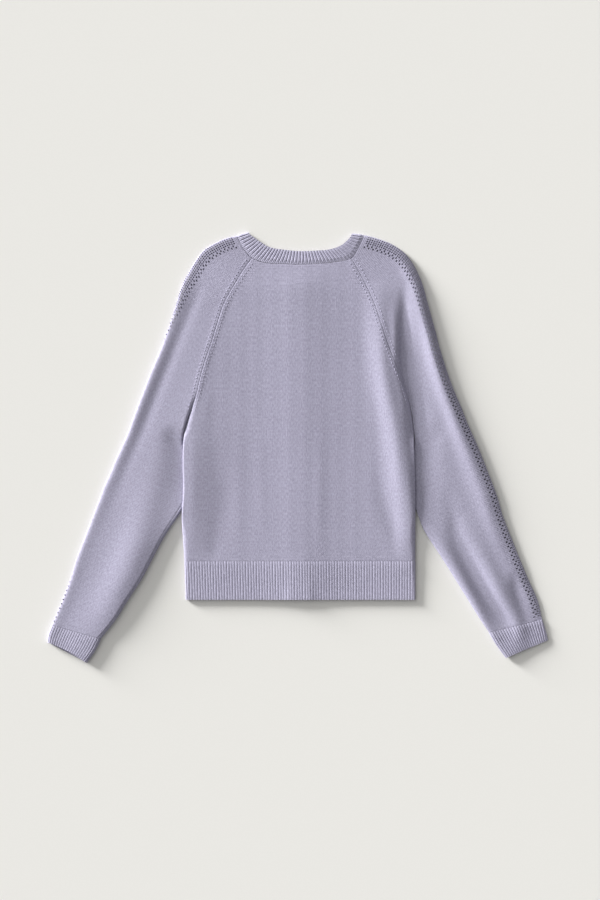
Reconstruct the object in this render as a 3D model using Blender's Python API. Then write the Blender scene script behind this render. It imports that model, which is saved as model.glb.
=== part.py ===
"""Raglan cardigan in fine rib-trimmed knit, lying flat on its buttoned front.

+X is to the right seen from above, +Y is towards the neck and +Z is up.
The floor is at z = 0. The wearer's left is at -X, because the back is on top.
Sizes are in millimetres and become metres where a mesh is made.
"""
from collections import namedtuple
import math

import bmesh
import bpy
import numpy as np

MM = 0.001

# Cloth and seams
WALL = 1.4            # thickness of the knit
SEAM = 0.18           # each piece ends this far from its seam line
FACE_GAP = 0.15       # half the gap between two edges that meet face to face
RIB_RISE = 0.7        # how far a rib stands out of its wall
THIN = 3.7            # two layers pressed on each other, with air between

# Whole garment
CENTRE_X = 4.0        # centre back
HEM_SEAM_Y = -182.0   # body meets the hem rib
HEM_Y = -244.0        # lower edge
BODY_TOP = 6.0        # height of the back's outer face, away from folds
EDGE_TOP = 4.6        # the same at the neck and the lower edge
PLACKET_RISE = 2.1    # the back rises this far over the button bands
PLACKET_SPREAD = 46.0 # half the width of that rise
PLACKET_REACH = 34.0  # the fronts come down to the floor this far from a band
SETTLE = 0.65         # the back sinks this far into the soft cloth over the bands
CRISPNESS = 3.0       # how crisply two heights of the cloth meet, per millimetre

# Button bands, button band over buttonhole band
BAND_HALF = 12.0
BUTTON_COUNT = 7
BUTTON_RADIUS = 6.0
BUTTON_THICK = 2.2
HOLE_BAND_Z = BUTTON_THICK + 0.3
BUTTON_BAND_Z = HOLE_BAND_Z + WALL + 0.3
BAND_TOP_Y = 255.0
FIRST_BUTTON_Y = 243.0
LAST_BUTTON_Y = -228.0

# Ribs
HEM_RIBS = 86
CUFF_RIBS = 40        # all round
NECK_PITCH = 5.2
RIB_STEPS = 3         # faces across one rib: up, over and down
RIB_PROFILE = (0.0, 1.0, 1.0)

UNDERARM = 11.0       # station where the raglan seams end
HEM_STATION = 17.0
CUFF_STATION = 24.0

# Raglan seam on the back, from neck to underarm, a row for each station
RaglanRow = namedtuple("RaglanRow", "y left right")
RAGLAN = [
    RaglanRow(302, -72, 86),
    RaglanRow(283, -86, 97.5),
    RaglanRow(262, -98.5, 108.5),
    RaglanRow(243, -110, 117.5),
    RaglanRow(224, -119, 125.5),
    RaglanRow(198, -127.5, 134),
    RaglanRow(169, -136.5, 143.5),
    RaglanRow(139, -146.5, 155),
    RaglanRow(110, -155, 166.5),
    RaglanRow(80, -162, 177),
    RaglanRow(54, -170.5, 183),
    RaglanRow(30, -178, 186),
]

# Side seam, on from the underarm to the lower edge: lift is how far the front is held up
# by the sleeve tucked under it
SideRow = namedtuple("SideRow", "y left right lift_left lift_right")
SIDE = [
    SideRow(8, -181.5, 187, 5.6, 4.3),
    SideRow(-30, -182.5, 188, 5.6, 4.3),
    SideRow(-70, -181.5, 189, 5.6, 4.3),
    SideRow(-109, -184, 189, 4.6, 4.0),
    SideRow(-145, -182.5, 189, 0.0, 0.0),
    SideRow(HEM_SEAM_Y, -180, 189, 0.0, 0.0),
    SideRow(HEM_Y, -178, 189, 0.0, 0.0),
]

# Front raglan seam, which runs lower at the neck than the back one
FRONT_RAGLAN = [
    RaglanRow(274, -75, 90),
    RaglanRow(258, -88, 101),
    RaglanRow(243, -100, 110),
    RaglanRow(226, -111, 119),
    RaglanRow(207, -120, 127),
    RaglanRow(186, -128.5, 136),
    RaglanRow(160, -137.5, 145),
    RaglanRow(133, -147.5, 155),
    RaglanRow(106, -155.5, 167),
    RaglanRow(79, -162.5, 177),
    RaglanRow(54, -170.5, 183),
    RaglanRow(30, -178, 186),
]

# Sleeves, a row for each section: the outer fold, then the inner end past the underarm
FoldRow = namedtuple("FoldRow", "x y")
OUTER_LEFT = [
    FoldRow(-97, 338), FoldRow(-119, 331.5), FoldRow(-145, 318), FoldRow(-156.5, 306),
    FoldRow(-171, 283), FoldRow(-184, 258), FoldRow(-194, 226), FoldRow(-206, 190),
    FoldRow(-218, 158), FoldRow(-233, 123), FoldRow(-246, 90), FoldRow(-256, 64),
    FoldRow(-264, 42), FoldRow(-271, 23), FoldRow(-280, 3), FoldRow(-290, -19),
    FoldRow(-299, -41), FoldRow(-309, -63), FoldRow(-316, -82), FoldRow(-326, -108),
    FoldRow(-339, -142), FoldRow(-352, -176), FoldRow(-363, -212), FoldRow(-377, -249),
    FoldRow(-392, -284),
]
OUTER_RIGHT = [
    FoldRow(107, 339), FoldRow(126, 334), FoldRow(150, 325), FoldRow(172, 310),
    FoldRow(188, 288), FoldRow(200, 261), FoldRow(209, 229), FoldRow(219, 193),
    FoldRow(228, 158), FoldRow(239, 123), FoldRow(251, 90), FoldRow(262, 64),
    FoldRow(271, 41), FoldRow(279, 23), FoldRow(288, 3), FoldRow(297, -19),
    FoldRow(307, -45), FoldRow(318, -74), FoldRow(322, -86), FoldRow(328, -107),
    FoldRow(341, -141), FoldRow(355, -176), FoldRow(370, -212), FoldRow(385, -246),
    FoldRow(392, -275),
]
INNER_LEFT = [
    FoldRow(-181.9, 8), FoldRow(-173, -15), FoldRow(-169, -40), FoldRow(-171, -65),
    FoldRow(-177, -88), FoldRow(-189, -109), FoldRow(-200, -125), FoldRow(-215, -149),
    FoldRow(-232, -181), FoldRow(-249, -213), FoldRow(-270, -245), FoldRow(-290, -277),
    FoldRow(-313, -306),
]
INNER_RIGHT = [
    FoldRow(187.4, 8), FoldRow(181, -15), FoldRow(177, -40), FoldRow(179, -65),
    FoldRow(186, -90), FoldRow(194, -113), FoldRow(201, -131), FoldRow(212, -149),
    FoldRow(233, -181), FoldRow(253, -213), FoldRow(273, -245), FoldRow(293, -277),
    FoldRow(306, -296),
]
CUFF_OUTER_LEFT = [FoldRow(-392, -284), FoldRow(-397, -298), FoldRow(-399, -312)]
CUFF_INNER_LEFT = [FoldRow(-313, -306), FoldRow(-323, -326), FoldRow(-336, -345)]
CUFF_OUTER_RIGHT = [FoldRow(392, -275), FoldRow(397, -293), FoldRow(401, -309)]
CUFF_INNER_RIGHT = [FoldRow(306, -296), FoldRow(319, -317), FoldRow(334, -337)]

# Neckband: seam line and free edge, from the fold at the left shoulder over the back
NECK_SEAM_BACK = [(-97, 338), (-86, 317), (-72, 302), (-51, 294.5), (-24, 293), (5, 292),
                  (37, 293.5), (62, 296), (86, 302), (98, 320), (107, 339)]
NECK_EDGE_BACK = [(-78, 343), (-72, 337), (-59, 328), (-43, 319), (-19, 315), (5, 313),
                  (34, 314), (53, 316), (70, 322), (83, 333), (88, 341)]
# and from the button bands up to the same folds, under the back
NECK_SEAM_LEFT = [(-8, 236), (-46, 248), (-75, 274), (-91, 307), (-97, 338)]
NECK_EDGE_LEFT = [(-8, 255), (-37, 266), (-59, 286), (-72, 312), (-78, 343)]
NECK_SEAM_RIGHT = [(16, 236), (56, 248), (90, 274), (101, 307), (107, 339)]
NECK_EDGE_RIGHT = [(16, 255), (48, 266), (70, 286), (83, 312), (88, 341)]

# Folds of the upper layer: a bell across, along a line of places with their heights
Fold = namedtuple("Fold", "name half_width places")
Place = namedtuple("Place", "x y height")
FOLDS = [
    Fold("left of the back, over the sleeve tucked under it", 80.0, [
        Place(-160, 215, 0.0), Place(-160, 140, 1.4), Place(-165, 60, 2.2),
        Place(-170, -40, 2.4), Place(-170, -120, 1.2), Place(-168, -182, 0.0)]),
    Fold("rolled left edge of the back", 20.0, [
        Place(-140, 180, 0.0), Place(-150, 110, 0.5), Place(-158, 60, 1.0), Place(-164, 0, 1.6),
        Place(-166, -60, 1.8), Place(-166, -120, 1.6), Place(-162, -165, 0.6),
        Place(-160, -195, 0.0)]),
    Fold("welt along the left raglan seam", 6.0, [
        Place(-92, 275, 0.0), Place(-109, 243, 0.25), Place(-127, 198, 0.4),
        Place(-146, 139, 0.5), Place(-161, 80, 0.5), Place(-176, 30, 0.4),
        Place(-180, 10, 0.0)]),
    Fold("roll down the right of the back", 19.0, [
        Place(126, 265, 0.0), Place(131, 222, 2.4), Place(135, 171, 5.2), Place(141, 115, 6.4),
        Place(156, 35, 6.8), Place(168, -53, 6.0), Place(178, -125, 3.6), Place(180, -165, 1.4),
        Place(180, -205, 0.0)]),
    Fold("its shoulder by the armhole", 8.0, [
        Place(153, 235, 0.0), Place(157, 171, 2.2), Place(158, 125, 1.8), Place(168, 83, 1.8),
        Place(174, 27, 1.0), Place(180, -25, 1.3), Place(182, -70, 1.3),
        Place(183, -120, 0.6), Place(183, -160, 0.0)]),
    Fold("deep fold at the right armhole", 8.0, [
        Place(170, 258, 0.0), Place(172.5, 211, -3.2), Place(173.5, 171, -6.5),
        Place(177, 115, -8.0), Place(189.5, 75, -6.2), Place(196.5, 27, -4.4),
        Place(198, -53, -3.6), Place(199, -101, -1.5)]),
    Fold("wide fall round it", 17.0, [
        Place(178, 220, 0.0), Place(183, 171, -1.4), Place(190, 107, -2.6),
        Place(200, 43, -2.4), Place(205, -37, -1.8), Place(210, -100, 0.0)]),
    Fold("trough inside the left sleeve's outer roll", 9.0, [
        Place(-150, 268, 0.0), Place(-163, 235, -0.8), Place(-190, 171, -0.9),
        Place(-216, 107, -1.0), Place(-248, 27, -0.8), Place(-280, -53, -0.4),
        Place(-306, -125, 0.0)]),
    Fold("ridge low on the left sleeve", 30.0, [
        Place(-180, 110, 0.0), Place(-198, 27, 0.4), Place(-214, -53, 1.4),
        Place(-238, -110, 3.8), Place(-252, -149, 5.0), Place(-274, -205, 5.4),
        Place(-302, -261, 4.0), Place(-330, -300, 1.8), Place(-348, -330, 1.0)]),
    Fold("ridge down the right sleeve", 13.0, [
        Place(177, 262, 0.0), Place(188, 235, 1.4), Place(210, 171, 2.0), Place(228, 107, 2.4),
        Place(256, 27, 2.6), Place(283, -53, 2.2), Place(309, -117, 1.2),
        Place(330, -170, 0.0)]),
    Fold("rolled inner edge, low on the right sleeve", 9.0, [
        Place(205, -110, 0.0), Place(228, -149, 1.8), Place(264, -213, 3.4),
        Place(290, -258, 3.0), Place(310, -292, 1.0), Place(322, -318, 0.0)]),
    Fold("trough beside it", 11.0, [
        Place(236, -60, 0.0), Place(248, -110, -1.4), Place(258, -149, -3.0),
        Place(292, -213, -4.4), Place(322, -261, -4.0), Place(340, -284, -2.2),
        Place(352, -304, 0.0)]),
    Fold("ridge beside that", 14.0, [
        Place(262, -110, 0.0), Place(284, -149, 1.4), Place(316, -213, 3.2),
        Place(340, -261, 2.8), Place(350, -284, 2.8), Place(358, -304, 1.2),
        Place(364, -324, 0.0)]),
    Fold("dimple above the right cuff", 8.0, [
        Place(342, -200, 0.0), Place(352, -232, -2.2), Place(364, -264, -1.2),
        Place(370, -285, 0.0)]),
    Fold("right sleeve's end, sinking to its cuff", 34.0, [
        Place(340, -215, 0.0), Place(366, -260, -1.4), Place(386, -305, -2.8),
        Place(390, -330, -3.0)]),
    Fold("trough low on the back, left", 16.0, [
        Place(-122, 20, 0.0), Place(-120, -40, -0.7), Place(-116, -85, -1.0),
        Place(-128, -160, -0.7), Place(-130, -182, 0.0)]),
    Fold("trough low on the back, right", 12.0, [
        Place(128, -20, 0.0), Place(138, -75, -0.8), Place(152, -130, -1.2),
        Place(160, -172, 0.0)]),
    Fold("faint ridge down the back, left", 9.0, [
        Place(-56, 60, 0.0), Place(-57, -20, 0.35), Place(-55, -110, 0.4),
        Place(-54, -178, 0.0)]),
    Fold("faint ridge down the back, right", 9.0, [
        Place(34, 40, 0.0), Place(35, -40, 0.3), Place(34, -120, 0.35), Place(36, -178, 0.0)]),
]


def ease(value, start, end):
    """0 at start, 1 at end, level at both."""
    t = np.clip((value - start) / (end - start), 0.0, 1.0)
    return t * t * (3.0 - 2.0 * t)


def through(rows, station):
    """Smooth curve through equally spaced rows, at one station or many."""
    rows = np.asarray(rows, float)
    slopes = np.gradient(rows, axis=0)
    station = np.clip(np.asarray(station, float), 0.0, len(rows) - 1.0)
    first = np.minimum(station.astype(int), len(rows) - 2)
    t = (station - first)[..., None]
    a, b = rows[first], rows[first + 1]
    ta, tb = slopes[first], slopes[first + 1]
    return ((2 * t**3 - 3 * t**2 + 1) * a + (t**3 - 2 * t**2 + t) * ta
            + (3 * t**2 - 2 * t**3) * b + (t**3 - t**2) * tb)


def bell(x, y, fold):
    """Height of one fold at many places, by distance to its line."""
    line = through(fold.places, np.linspace(0, len(fold.places) - 1, 6 * len(fold.places)))
    best = np.full(x.shape, np.inf)
    height = np.zeros(x.shape)
    for start, end in zip(line[:-1], line[1:]):
        run = end[:2] - start[:2]
        t = np.clip(((x - start[0]) * run[0] + (y - start[1]) * run[1]) / (run @ run), 0, 1)
        gap = (x - start[0] - t * run[0])**2 + (y - start[1] - t * run[1])**2
        nearer = gap < best
        best = np.where(nearer, gap, best)
        height = np.where(nearer, start[2] + t * (end[2] - start[2]), height)
    return height * np.exp(-best / fold.half_width**2)


def higher(one, other):
    """The higher of two heights, with a soft meeting where they cross."""
    return np.logaddexp(CRISPNESS * one, CRISPNESS * other) / CRISPNESS


def top_height(x, y):
    """Outer face of the upper layer over the floor."""
    plateau = ease(y, 310, 240) * ease(y, HEM_Y - 4, HEM_SEAM_Y)
    plateau = np.maximum(plateau, ease(np.abs(x - CENTRE_X), 185, 230))
    height = EDGE_TOP + (BODY_TOP - EDGE_TOP) * plateau
    placket = ease(y, 314, 248) * PLACKET_RISE
    height = height + placket * np.exp(-((x - CENTRE_X) / PLACKET_SPREAD)**2)
    for fold in FOLDS:
        height = height + bell(x, y, fold)
    return higher(height, THIN)


def edge_round(amount, t):
    """Run and rise from a piece's edge (t = 0) to the end of its rounding (t = 1)."""
    angle = t * math.pi / 2
    run = (1 - amount) * t + amount * (1 - np.cos(angle))
    rise = 1 - amount * (1 - np.sin(angle))
    return run, rise


class Line:
    """A dense line of places. Marks on it split it into stretches, read from 0 upwards."""

    def __init__(self, places, marks=None):
        self.places = np.asarray(places, float)
        steps = np.linalg.norm(np.diff(self.places, axis=0), axis=1)
        self.along = np.concatenate([[0.0], np.cumsum(steps)])
        self.length = self.along[-1]
        self.marks = [0.0, self.length] if marks is None else [self.along[k] for k in marks]

    def at(self, columns, shift=0.0):
        distance = np.interp(columns, np.arange(len(self.marks)), self.marks)
        distance = np.clip(distance + shift, self.marks[0], self.marks[-1])
        return np.stack([np.interp(distance, self.along, self.places[:, k])
                         for k in range(3)], axis=-1)


def body_edge(station, side):
    """Place of the body's edge in plan, and the lift of the front there."""
    rows = [(getattr(r, side), r.y, 0.0) for r in RAGLAN]
    rows += [(getattr(r, side), r.y, getattr(r, "lift_" + side)) for r in SIDE]
    x, y, lift = through(rows, station)
    return x, y, max(lift, 0.0)


def rounding(station):
    """A seam edge is level with its neighbour on the raglan and rolls under below it."""
    return float(ease(station, 8.5, UNDERARM))


EDGE_ROUND = 9.0
TIGHTEST = 1.7        # an edge's outer face turns no tighter than this radius
NEAR = 3.0            # about this far inside an edge its rounding has ended
FRONT_DROP = 38.0     # a front's neck falls this far from the raglan to the band
ROUND_STEPS = np.linspace(0, 1, 25)
FLAT_STEPS = np.linspace(0, 1, 60)[1:-1]


def round_width(climb):
    """Width of a rounding that climbs this far, so that the wall fits inside it."""
    return float(np.clip(climb * climb / TIGHTEST, TIGHTEST, EDGE_ROUND))


def bend(places, first, last, t):
    """How far a curve through some of the places is off its chord, t of the way."""
    path = through(places, np.linspace(first, last, 80))
    steps = np.linalg.norm(np.diff(path, axis=0), axis=1)
    along = np.concatenate([[0.0], np.cumsum(steps)]) / steps.sum()
    off = path - (path[0] + (path[-1] - path[0]) * along[:, None])
    return np.stack([np.interp(t, along, off[:, k]) for k in range(2)], axis=-1)


def side_heights(station, side):
    """Under and outer face of the two layers just inside a side, and half-way between."""
    x, y, _ = body_edge(station, side)
    near = np.array([x + (NEAR if side == "left" else -NEAR)])
    under = tuck_lift(near, station)[0]
    top = max(top_height(near, np.array([y]))[0], lying_on(near, y, station)[0])
    return under, top, (under + top) / 2


def across(start, end, rounds, amount):
    """Shares of the way from one edge to the other, and rises out of the roundings.

    rounds are the widths of the two roundings, in millimetres, or 0 for a plain end.
    """
    run, rise_in = edge_round(amount, ROUND_STEPS)
    width = math.hypot(end[0] - start[0], end[1] - start[1])
    first, last = (size / width for size in rounds)
    parts = [run * first] if first else [[0.0]]
    parts.append(first + (1 - first - last) * FLAT_STEPS)
    parts.append(1 - (run * last)[::-1] if last else [1.0])
    t = np.concatenate(parts)
    rise = np.ones(t.shape)
    if first:
        rise[:len(rise_in)] = rise_in
    if last:
        rise[-len(rise_in):] = rise_in[::-1]
    return t, rise


def tuck_lift(x, station):
    """Height of the front's underside over the sleeve edge tucked under it."""
    left, _, lift_left = body_edge(station, "left")
    right, _, lift_right = body_edge(station, "right")
    return lift_left * ease(x - left, 34, 17) + lift_right * ease(right - x, 34, 17)


def placket_lift(x):
    """Height of the fronts' underside next to the button bands."""
    away = np.abs(x - CENTRE_X)
    band = np.where(x < CENTRE_X, BUTTON_BAND_Z, HOLE_BAND_Z)
    return band * ease(away, BAND_HALF + PLACKET_REACH, BAND_HALF + 1)


def lying_on(x, y, station):
    """Lowest that the back's outer face can be over the layers under it."""
    away = np.abs(x - CENTRE_X)
    band = BUTTON_BAND_Z * ease(away, BAND_HALF + PLACKET_REACH, BAND_HALF + 1)
    band = band * ease(y, 285, 260) - SETTLE
    return np.maximum(tuck_lift(x, station), band) + 2 * WALL + 1.0


def back_line(station):
    """The back, from the left seam over the top to the right seam."""
    xl, y, _ = body_edge(station, "left")
    xr, _, _ = body_edge(station, "right")
    inset = SEAM if station < UNDERARM else 0.0
    start, end = (xl + inset, y), (xr - inset, y)
    amount = rounding(station)
    sides = [side_heights(station, side) for side in ("left", "right")]
    rounds = [EDGE_ROUND + (round_width(top - middle) - EDGE_ROUND) * amount
              for _, top, middle in sides]
    t, rise = across(start, end, rounds, amount)
    low = np.where(t < 0.5, sides[0][2], sides[1][2]) + FACE_GAP
    plan = np.array(start) + (np.array(end) - start) * t[:, None]
    neck = 1 - float(ease(station, 0, 4))
    plan += bend(NECK_SEAM_BACK, 2, 8, t) * neck
    x, y = plan.T
    top = higher(top_height(x, y), lying_on(x, y, station))
    z = low + (top - low) * rise
    return Line(np.column_stack([plan, z]), [0, len(ROUND_STEPS), -len(ROUND_STEPS), -1])


def front_line(station, side):
    """One front, from its side seam to its button band."""
    x, y = through([(getattr(r, side), r.y) for r in [*FRONT_RAGLAN, *SIDE]], station)
    sign = 1 if side == "left" else -1
    drop = FRONT_DROP * (1 - float(ease(station, 0, UNDERARM)))
    inset = SEAM if station < UNDERARM else 0.0
    start = (x + sign * inset, y)
    end = (CENTRE_X - sign * (BAND_HALF + SEAM), y - drop)
    amount = rounding(station)
    under, _, middle = side_heights(station, side)
    high = middle - FACE_GAP
    size = EDGE_ROUND + (round_width(high - under) - EDGE_ROUND) * amount
    t, rise = across(start, end, (size, 0.0), amount)
    plan = np.array(start) + (np.array(end) - start) * t[:, None]
    seam = NECK_SEAM_LEFT if side == "left" else NECK_SEAM_RIGHT
    plan += bend(seam, 2, 0, t) * (1 - float(ease(station, 0, 4)))
    under = tuck_lift(plan[:, 0], station) + placket_lift(plan[:, 0])
    z = high + (under - high) * rise
    return Line(np.column_stack([plan, z]), [0, len(ROUND_STEPS), -1])


TUBE_FLAT = np.linspace(0, 1, 90)[1:-1]
QUARTER = np.linspace(0, math.pi / 2, 25)
FOLD_SHARE = 0.49     # the outer fold is at this share of the sleeve's height there
PRESSED_AT = 12.0     # all pressed this near the inner edge

# Section of a sleeve: width of its outer rounding and how much its roll stands up there,
# width and height of its inner rounding, how far it is pressed flat under the body, and
# from how far off its inner edge
TubeRow = namedtuple("TubeRow", "station outer_round outer_roll inner_round inner_z press "
                     "pressed_from")
TUBE_LEFT = [
    TubeRow(0.0, 3.2, 0.0, 9.0, 2.0, 0.0, 64),
    TubeRow(2.0, 5.0, 0.2, 9.0, 2.0, 0.0, 64),
    TubeRow(4.0, 5.0, 0.3, 9.0, 2.0, 0.0, 64),
    TubeRow(6.0, 5.0, 0.8, 9.0, 2.0, 0.0, 64),
    TubeRow(8.5, 5.0, 1.4, 9.0, 2.0, 0.0, 24),
    TubeRow(11.0, 5.0, 1.6, 3.0, 2.4, 0.0, 30),
    TubeRow(12.3, 5.0, 1.5, 3.0, 2.4, 1.0, 48),
    TubeRow(13.6, 5.0, 1.3, 3.0, 2.4, 1.0, 66),
    TubeRow(15.4, 5.0, 1.0, 3.0, 2.4, 1.0, 80),
    TubeRow(17.2, 5.0, 0.8, 3.8, 2.6, 0.5, 80),
    TubeRow(19.5, 5.0, 0.6, 5.0, 3.2, 0.0, 80),
    TubeRow(24.0, 5.0, 0.6, 6.0, 3.4, 0.0, 80),
]
TUBE_RIGHT = [
    TubeRow(0.0, 3.2, 0.0, 9.0, 2.0, 0.0, 64),
    TubeRow(2.0, 6.0, 1.4, 9.0, 2.0, 0.0, 64),
    TubeRow(4.0, 9.0, 2.6, 9.0, 2.0, 0.0, 64),
    TubeRow(8.5, 9.0, 3.0, 9.0, 2.0, 0.0, 64),
    TubeRow(11.0, 9.0, 3.0, 3.0, 2.4, 0.0, 64),
    TubeRow(12.3, 9.0, 3.0, 2.0, 1.85, 1.0, 64),
    TubeRow(15.4, 9.0, 2.8, 2.0, 1.85, 1.0, 64),
    TubeRow(17.2, 9.0, 2.2, 3.4, 2.5, 0.5, 64),
    TubeRow(19.5, 9.0, 1.2, 5.0, 3.2, 0.0, 64),
    TubeRow(22.0, 9.0, 0.3, 5.6, 3.4, 0.0, 64),
    TubeRow(24.0, 9.0, 0.0, 6.0, 3.4, 0.0, 64),
]
ROLL_WIDTH = 11.0

# Where it is pressed, a sleeve is pressed_to high. The upper layer of a cuff draws back
# by mouth at its end
Sleeve = namedtuple("Sleeve", "side sign outer inner cuff_outer cuff_inner tube pressed_to "
                    "seam_turn mouth neck_back neck_front")
LEFT = Sleeve("left", -1, OUTER_LEFT, INNER_LEFT, CUFF_OUTER_LEFT, CUFF_INNER_LEFT,
              TUBE_LEFT, 5.0, 7.0, 3.6, (NECK_SEAM_BACK, 0, 2), (NECK_SEAM_LEFT, 4, 2))
RIGHT = Sleeve("right", 1, OUTER_RIGHT, INNER_RIGHT, CUFF_OUTER_RIGHT, CUFF_INNER_RIGHT,
               TUBE_RIGHT, THIN, -9.0, 0.6, (NECK_SEAM_BACK, 10, 8), (NECK_SEAM_RIGHT, 4, 2))


def tube_shape(sleeve, station):
    rows = np.array(sleeve.tube)
    shape = [float(np.interp(station, rows[:, 0], rows[:, k])) for k in range(1, 7)]
    return shape + [sleeve.pressed_to]


def tube_line(outer, upper_end, lower_end, shape, amount, turn, bends):
    """Section of a flattened tube: upper layer, outer fold, lower layer.

    It starts at the end of the upper layer. turn moves the seam of a closed tube
    along the section, up onto the upper layer if it is positive. bends are the two
    layers' distances from their chords, as functions of the share of the way.
    """
    outer_round, outer_roll, inner_round, inner_z, press, pressed_from, pressed_to = shape
    run, rise = edge_round(amount, ROUND_STEPS)
    fold_top = top_height(*outer[:, None])[0] + outer_roll
    outer_z = FOLD_SHARE * fold_top
    outer_round = min(outer_round, round_width(fold_top - outer_z))
    upper = np.linalg.norm(upper_end - outer) - SEAM * amount
    lower = np.linalg.norm(lower_end - outer) - SEAM * amount
    q_upper = np.concatenate([
        upper - run * inner_round,
        upper - inner_round + (outer_round - upper + inner_round) * TUBE_FLAT,
        outer_round * (1 - np.sin(QUARTER))])
    share = q_upper / np.linalg.norm(upper_end - outer)
    plan_upper = outer + (upper_end - outer) * share[:, None]
    plan_upper += bends[0](share)
    top = top_height(plan_upper[:, 0], plan_upper[:, 1])
    top += outer_roll * np.exp(-(np.maximum(q_upper - outer_round, 0) / ROLL_WIDTH)**2)
    top = top + (pressed_to - top) * press * ease(upper - q_upper, pressed_from, PRESSED_AT)
    z_upper = top.copy()
    count = len(ROUND_STEPS)
    z_upper[:count] = inner_z + (top[:count] - inner_z) * rise
    z_upper[-count:] = outer_z + (top[-count:] - outer_z) * np.cos(QUARTER)

    q_lower = np.concatenate([
        outer_round * (1 - np.sin(QUARTER[::-1][1:])),
        outer_round + (lower - inner_round - outer_round) * TUBE_FLAT,
        (lower - run * inner_round)[::-1]])
    share = q_lower / np.linalg.norm(lower_end - outer)
    plan_lower = outer + (lower_end - outer) * share[:, None]
    plan_lower += bends[1](share)
    z_lower = np.zeros(len(q_lower))
    z_lower[:count - 1] = outer_z * (1 - np.cos(QUARTER[::-1][1:]))
    z_lower[-count:] = (inner_z * (1 - rise))[::-1]

    places = np.concatenate([np.column_stack([plan_upper, z_upper]),
                             np.column_stack([plan_lower, z_lower])])
    # where the seam is turned, the line goes on past its end by the way round
    before = places[-60:-1] if turn < 0 else places[:0]
    after = places[1:60] if turn > 0 else places[:0]
    line = Line(np.concatenate([before, places, after]),
                [len(before) + k for k in (0, len(q_upper) - count,
                                           len(q_upper) + count - 2, len(places) - 1)])
    line.marks[0] += turn + SEAM
    line.marks[3] += turn - SEAM
    return line


def sleeve_line(sleeve, station):
    ends = list(sleeve.inner)
    upper = [(getattr(r, sleeve.side), r.y) for r in RAGLAN] + ends
    lower = [(getattr(r, sleeve.side), r.y) for r in FRONT_RAGLAN] + ends
    outer = through(sleeve.outer, station)
    turn = sleeve.seam_turn * float(ease(station, UNDERARM, UNDERARM + 2))
    neck = 1 - float(ease(station, 0, 3))
    bends = [lambda t, path=path: bend(*path, t) * neck
             for path in (sleeve.neck_back, sleeve.neck_front)]
    return tube_line(outer, through(upper, station), through(lower, station),
                     tube_shape(sleeve, station), rounding(station), turn, bends)


def cuff_line(sleeve, t):
    """Section of a cuff, from its seam (t = 0) to its edge (t = 1)."""
    outer = through(sleeve.cuff_outer, 2 * t)
    inner = through(sleeve.cuff_inner, 2 * t)
    end = sleeve.tube[-1]
    shape = (end.outer_round, end.outer_roll, end.inner_round - 1.0 * t,
             end.inner_z - 0.4 * t, 0.0, end.pressed_from, sleeve.pressed_to)
    way = outer - through(sleeve.cuff_outer, 0)
    drawn = way / max(np.hypot(*way), 1) * sleeve.mouth * float(ease(t, 0.4, 1.2))
    bends = [lambda t: -drawn * np.sin(math.pi * np.clip(t, 0, 1))[:, None],
             lambda t: np.zeros((len(t), 2))]
    return tube_line(outer, inner, inner, shape, 1.0, sleeve.seam_turn, bends)


NECK_PLAIN = 14       # columns on each front stretch, which has no raised ribs
NECK_ROUND = 3.2
NECK_FOLD_Z = 2.3


def neck_line(t):
    """Line round the neck, t of the way from its seam to its free edge.

    It runs from the left button band up the front, over the left shoulder's fold,
    along the back of the neck and down to the right button band.
    """
    def plan(seam, edge, reverse):
        steps = np.linspace(0, len(seam) - 1, 40 * (len(seam) - 1) + 1)
        path = through(seam, steps) * (1 - t) + through(edge, steps) * t
        path = path[::-1] if reverse else path
        return Line(np.column_stack([path, np.zeros(len(path))]))

    quarter = NECK_ROUND * (1 - np.sin(QUARTER))
    left = plan(NECK_SEAM_LEFT, NECK_EDGE_LEFT, True)
    right = plan(NECK_SEAM_RIGHT, NECK_EDGE_RIGHT, True)
    back = plan(NECK_SEAM_BACK, NECK_EDGE_BACK, False)

    def lower(line):
        far = np.concatenate([quarter[::-1], np.linspace(NECK_ROUND, line.length, 80)[1:]])
        places = line.at(far / line.length)
        places[:, 2] = placket_lift(places[:, 0])
        places[:len(QUARTER), 2] = NECK_FOLD_Z * (1 - np.cos(QUARTER[::-1]))
        return places

    far = np.concatenate([quarter[::-1],
                          np.linspace(NECK_ROUND, back.length - NECK_ROUND, 160)[1:-1],
                          back.length - quarter])
    upper = back.at(far / back.length)
    upper[:, 2] = top_height(upper[:, 0], upper[:, 1])
    count = len(QUARTER)
    for part, turn in ((slice(0, count), QUARTER[::-1]), (slice(-count, None), QUARTER)):
        upper[part, 2] = NECK_FOLD_Z + (upper[part, 2] - NECK_FOLD_Z) * np.cos(turn)
    low_left, low_right = lower(left)[::-1], lower(right)
    places = np.concatenate([low_left, upper[1:], low_right[1:]])
    first, last = len(low_left) - 1, len(low_left) + len(upper) - 2
    line = Line(places, [0, first, last, -1])
    line.marks[0] += SEAM
    line.marks[3] -= SEAM
    return line


STEP = 0.004          # a small part of a station
SHIFT = 0.05          # a small move along a line, to find which way a sheet faces


def knit(name, colour):
    material = bpy.data.materials.new(name)
    material.use_nodes = True
    shader = material.node_tree.nodes["Principled BSDF"]
    shader.inputs["Base Color"].default_value = (*colour, 1.0)
    shader.inputs["Roughness"].default_value = 0.9
    shader.inputs["Metallic"].default_value = 0.0
    return material


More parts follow.
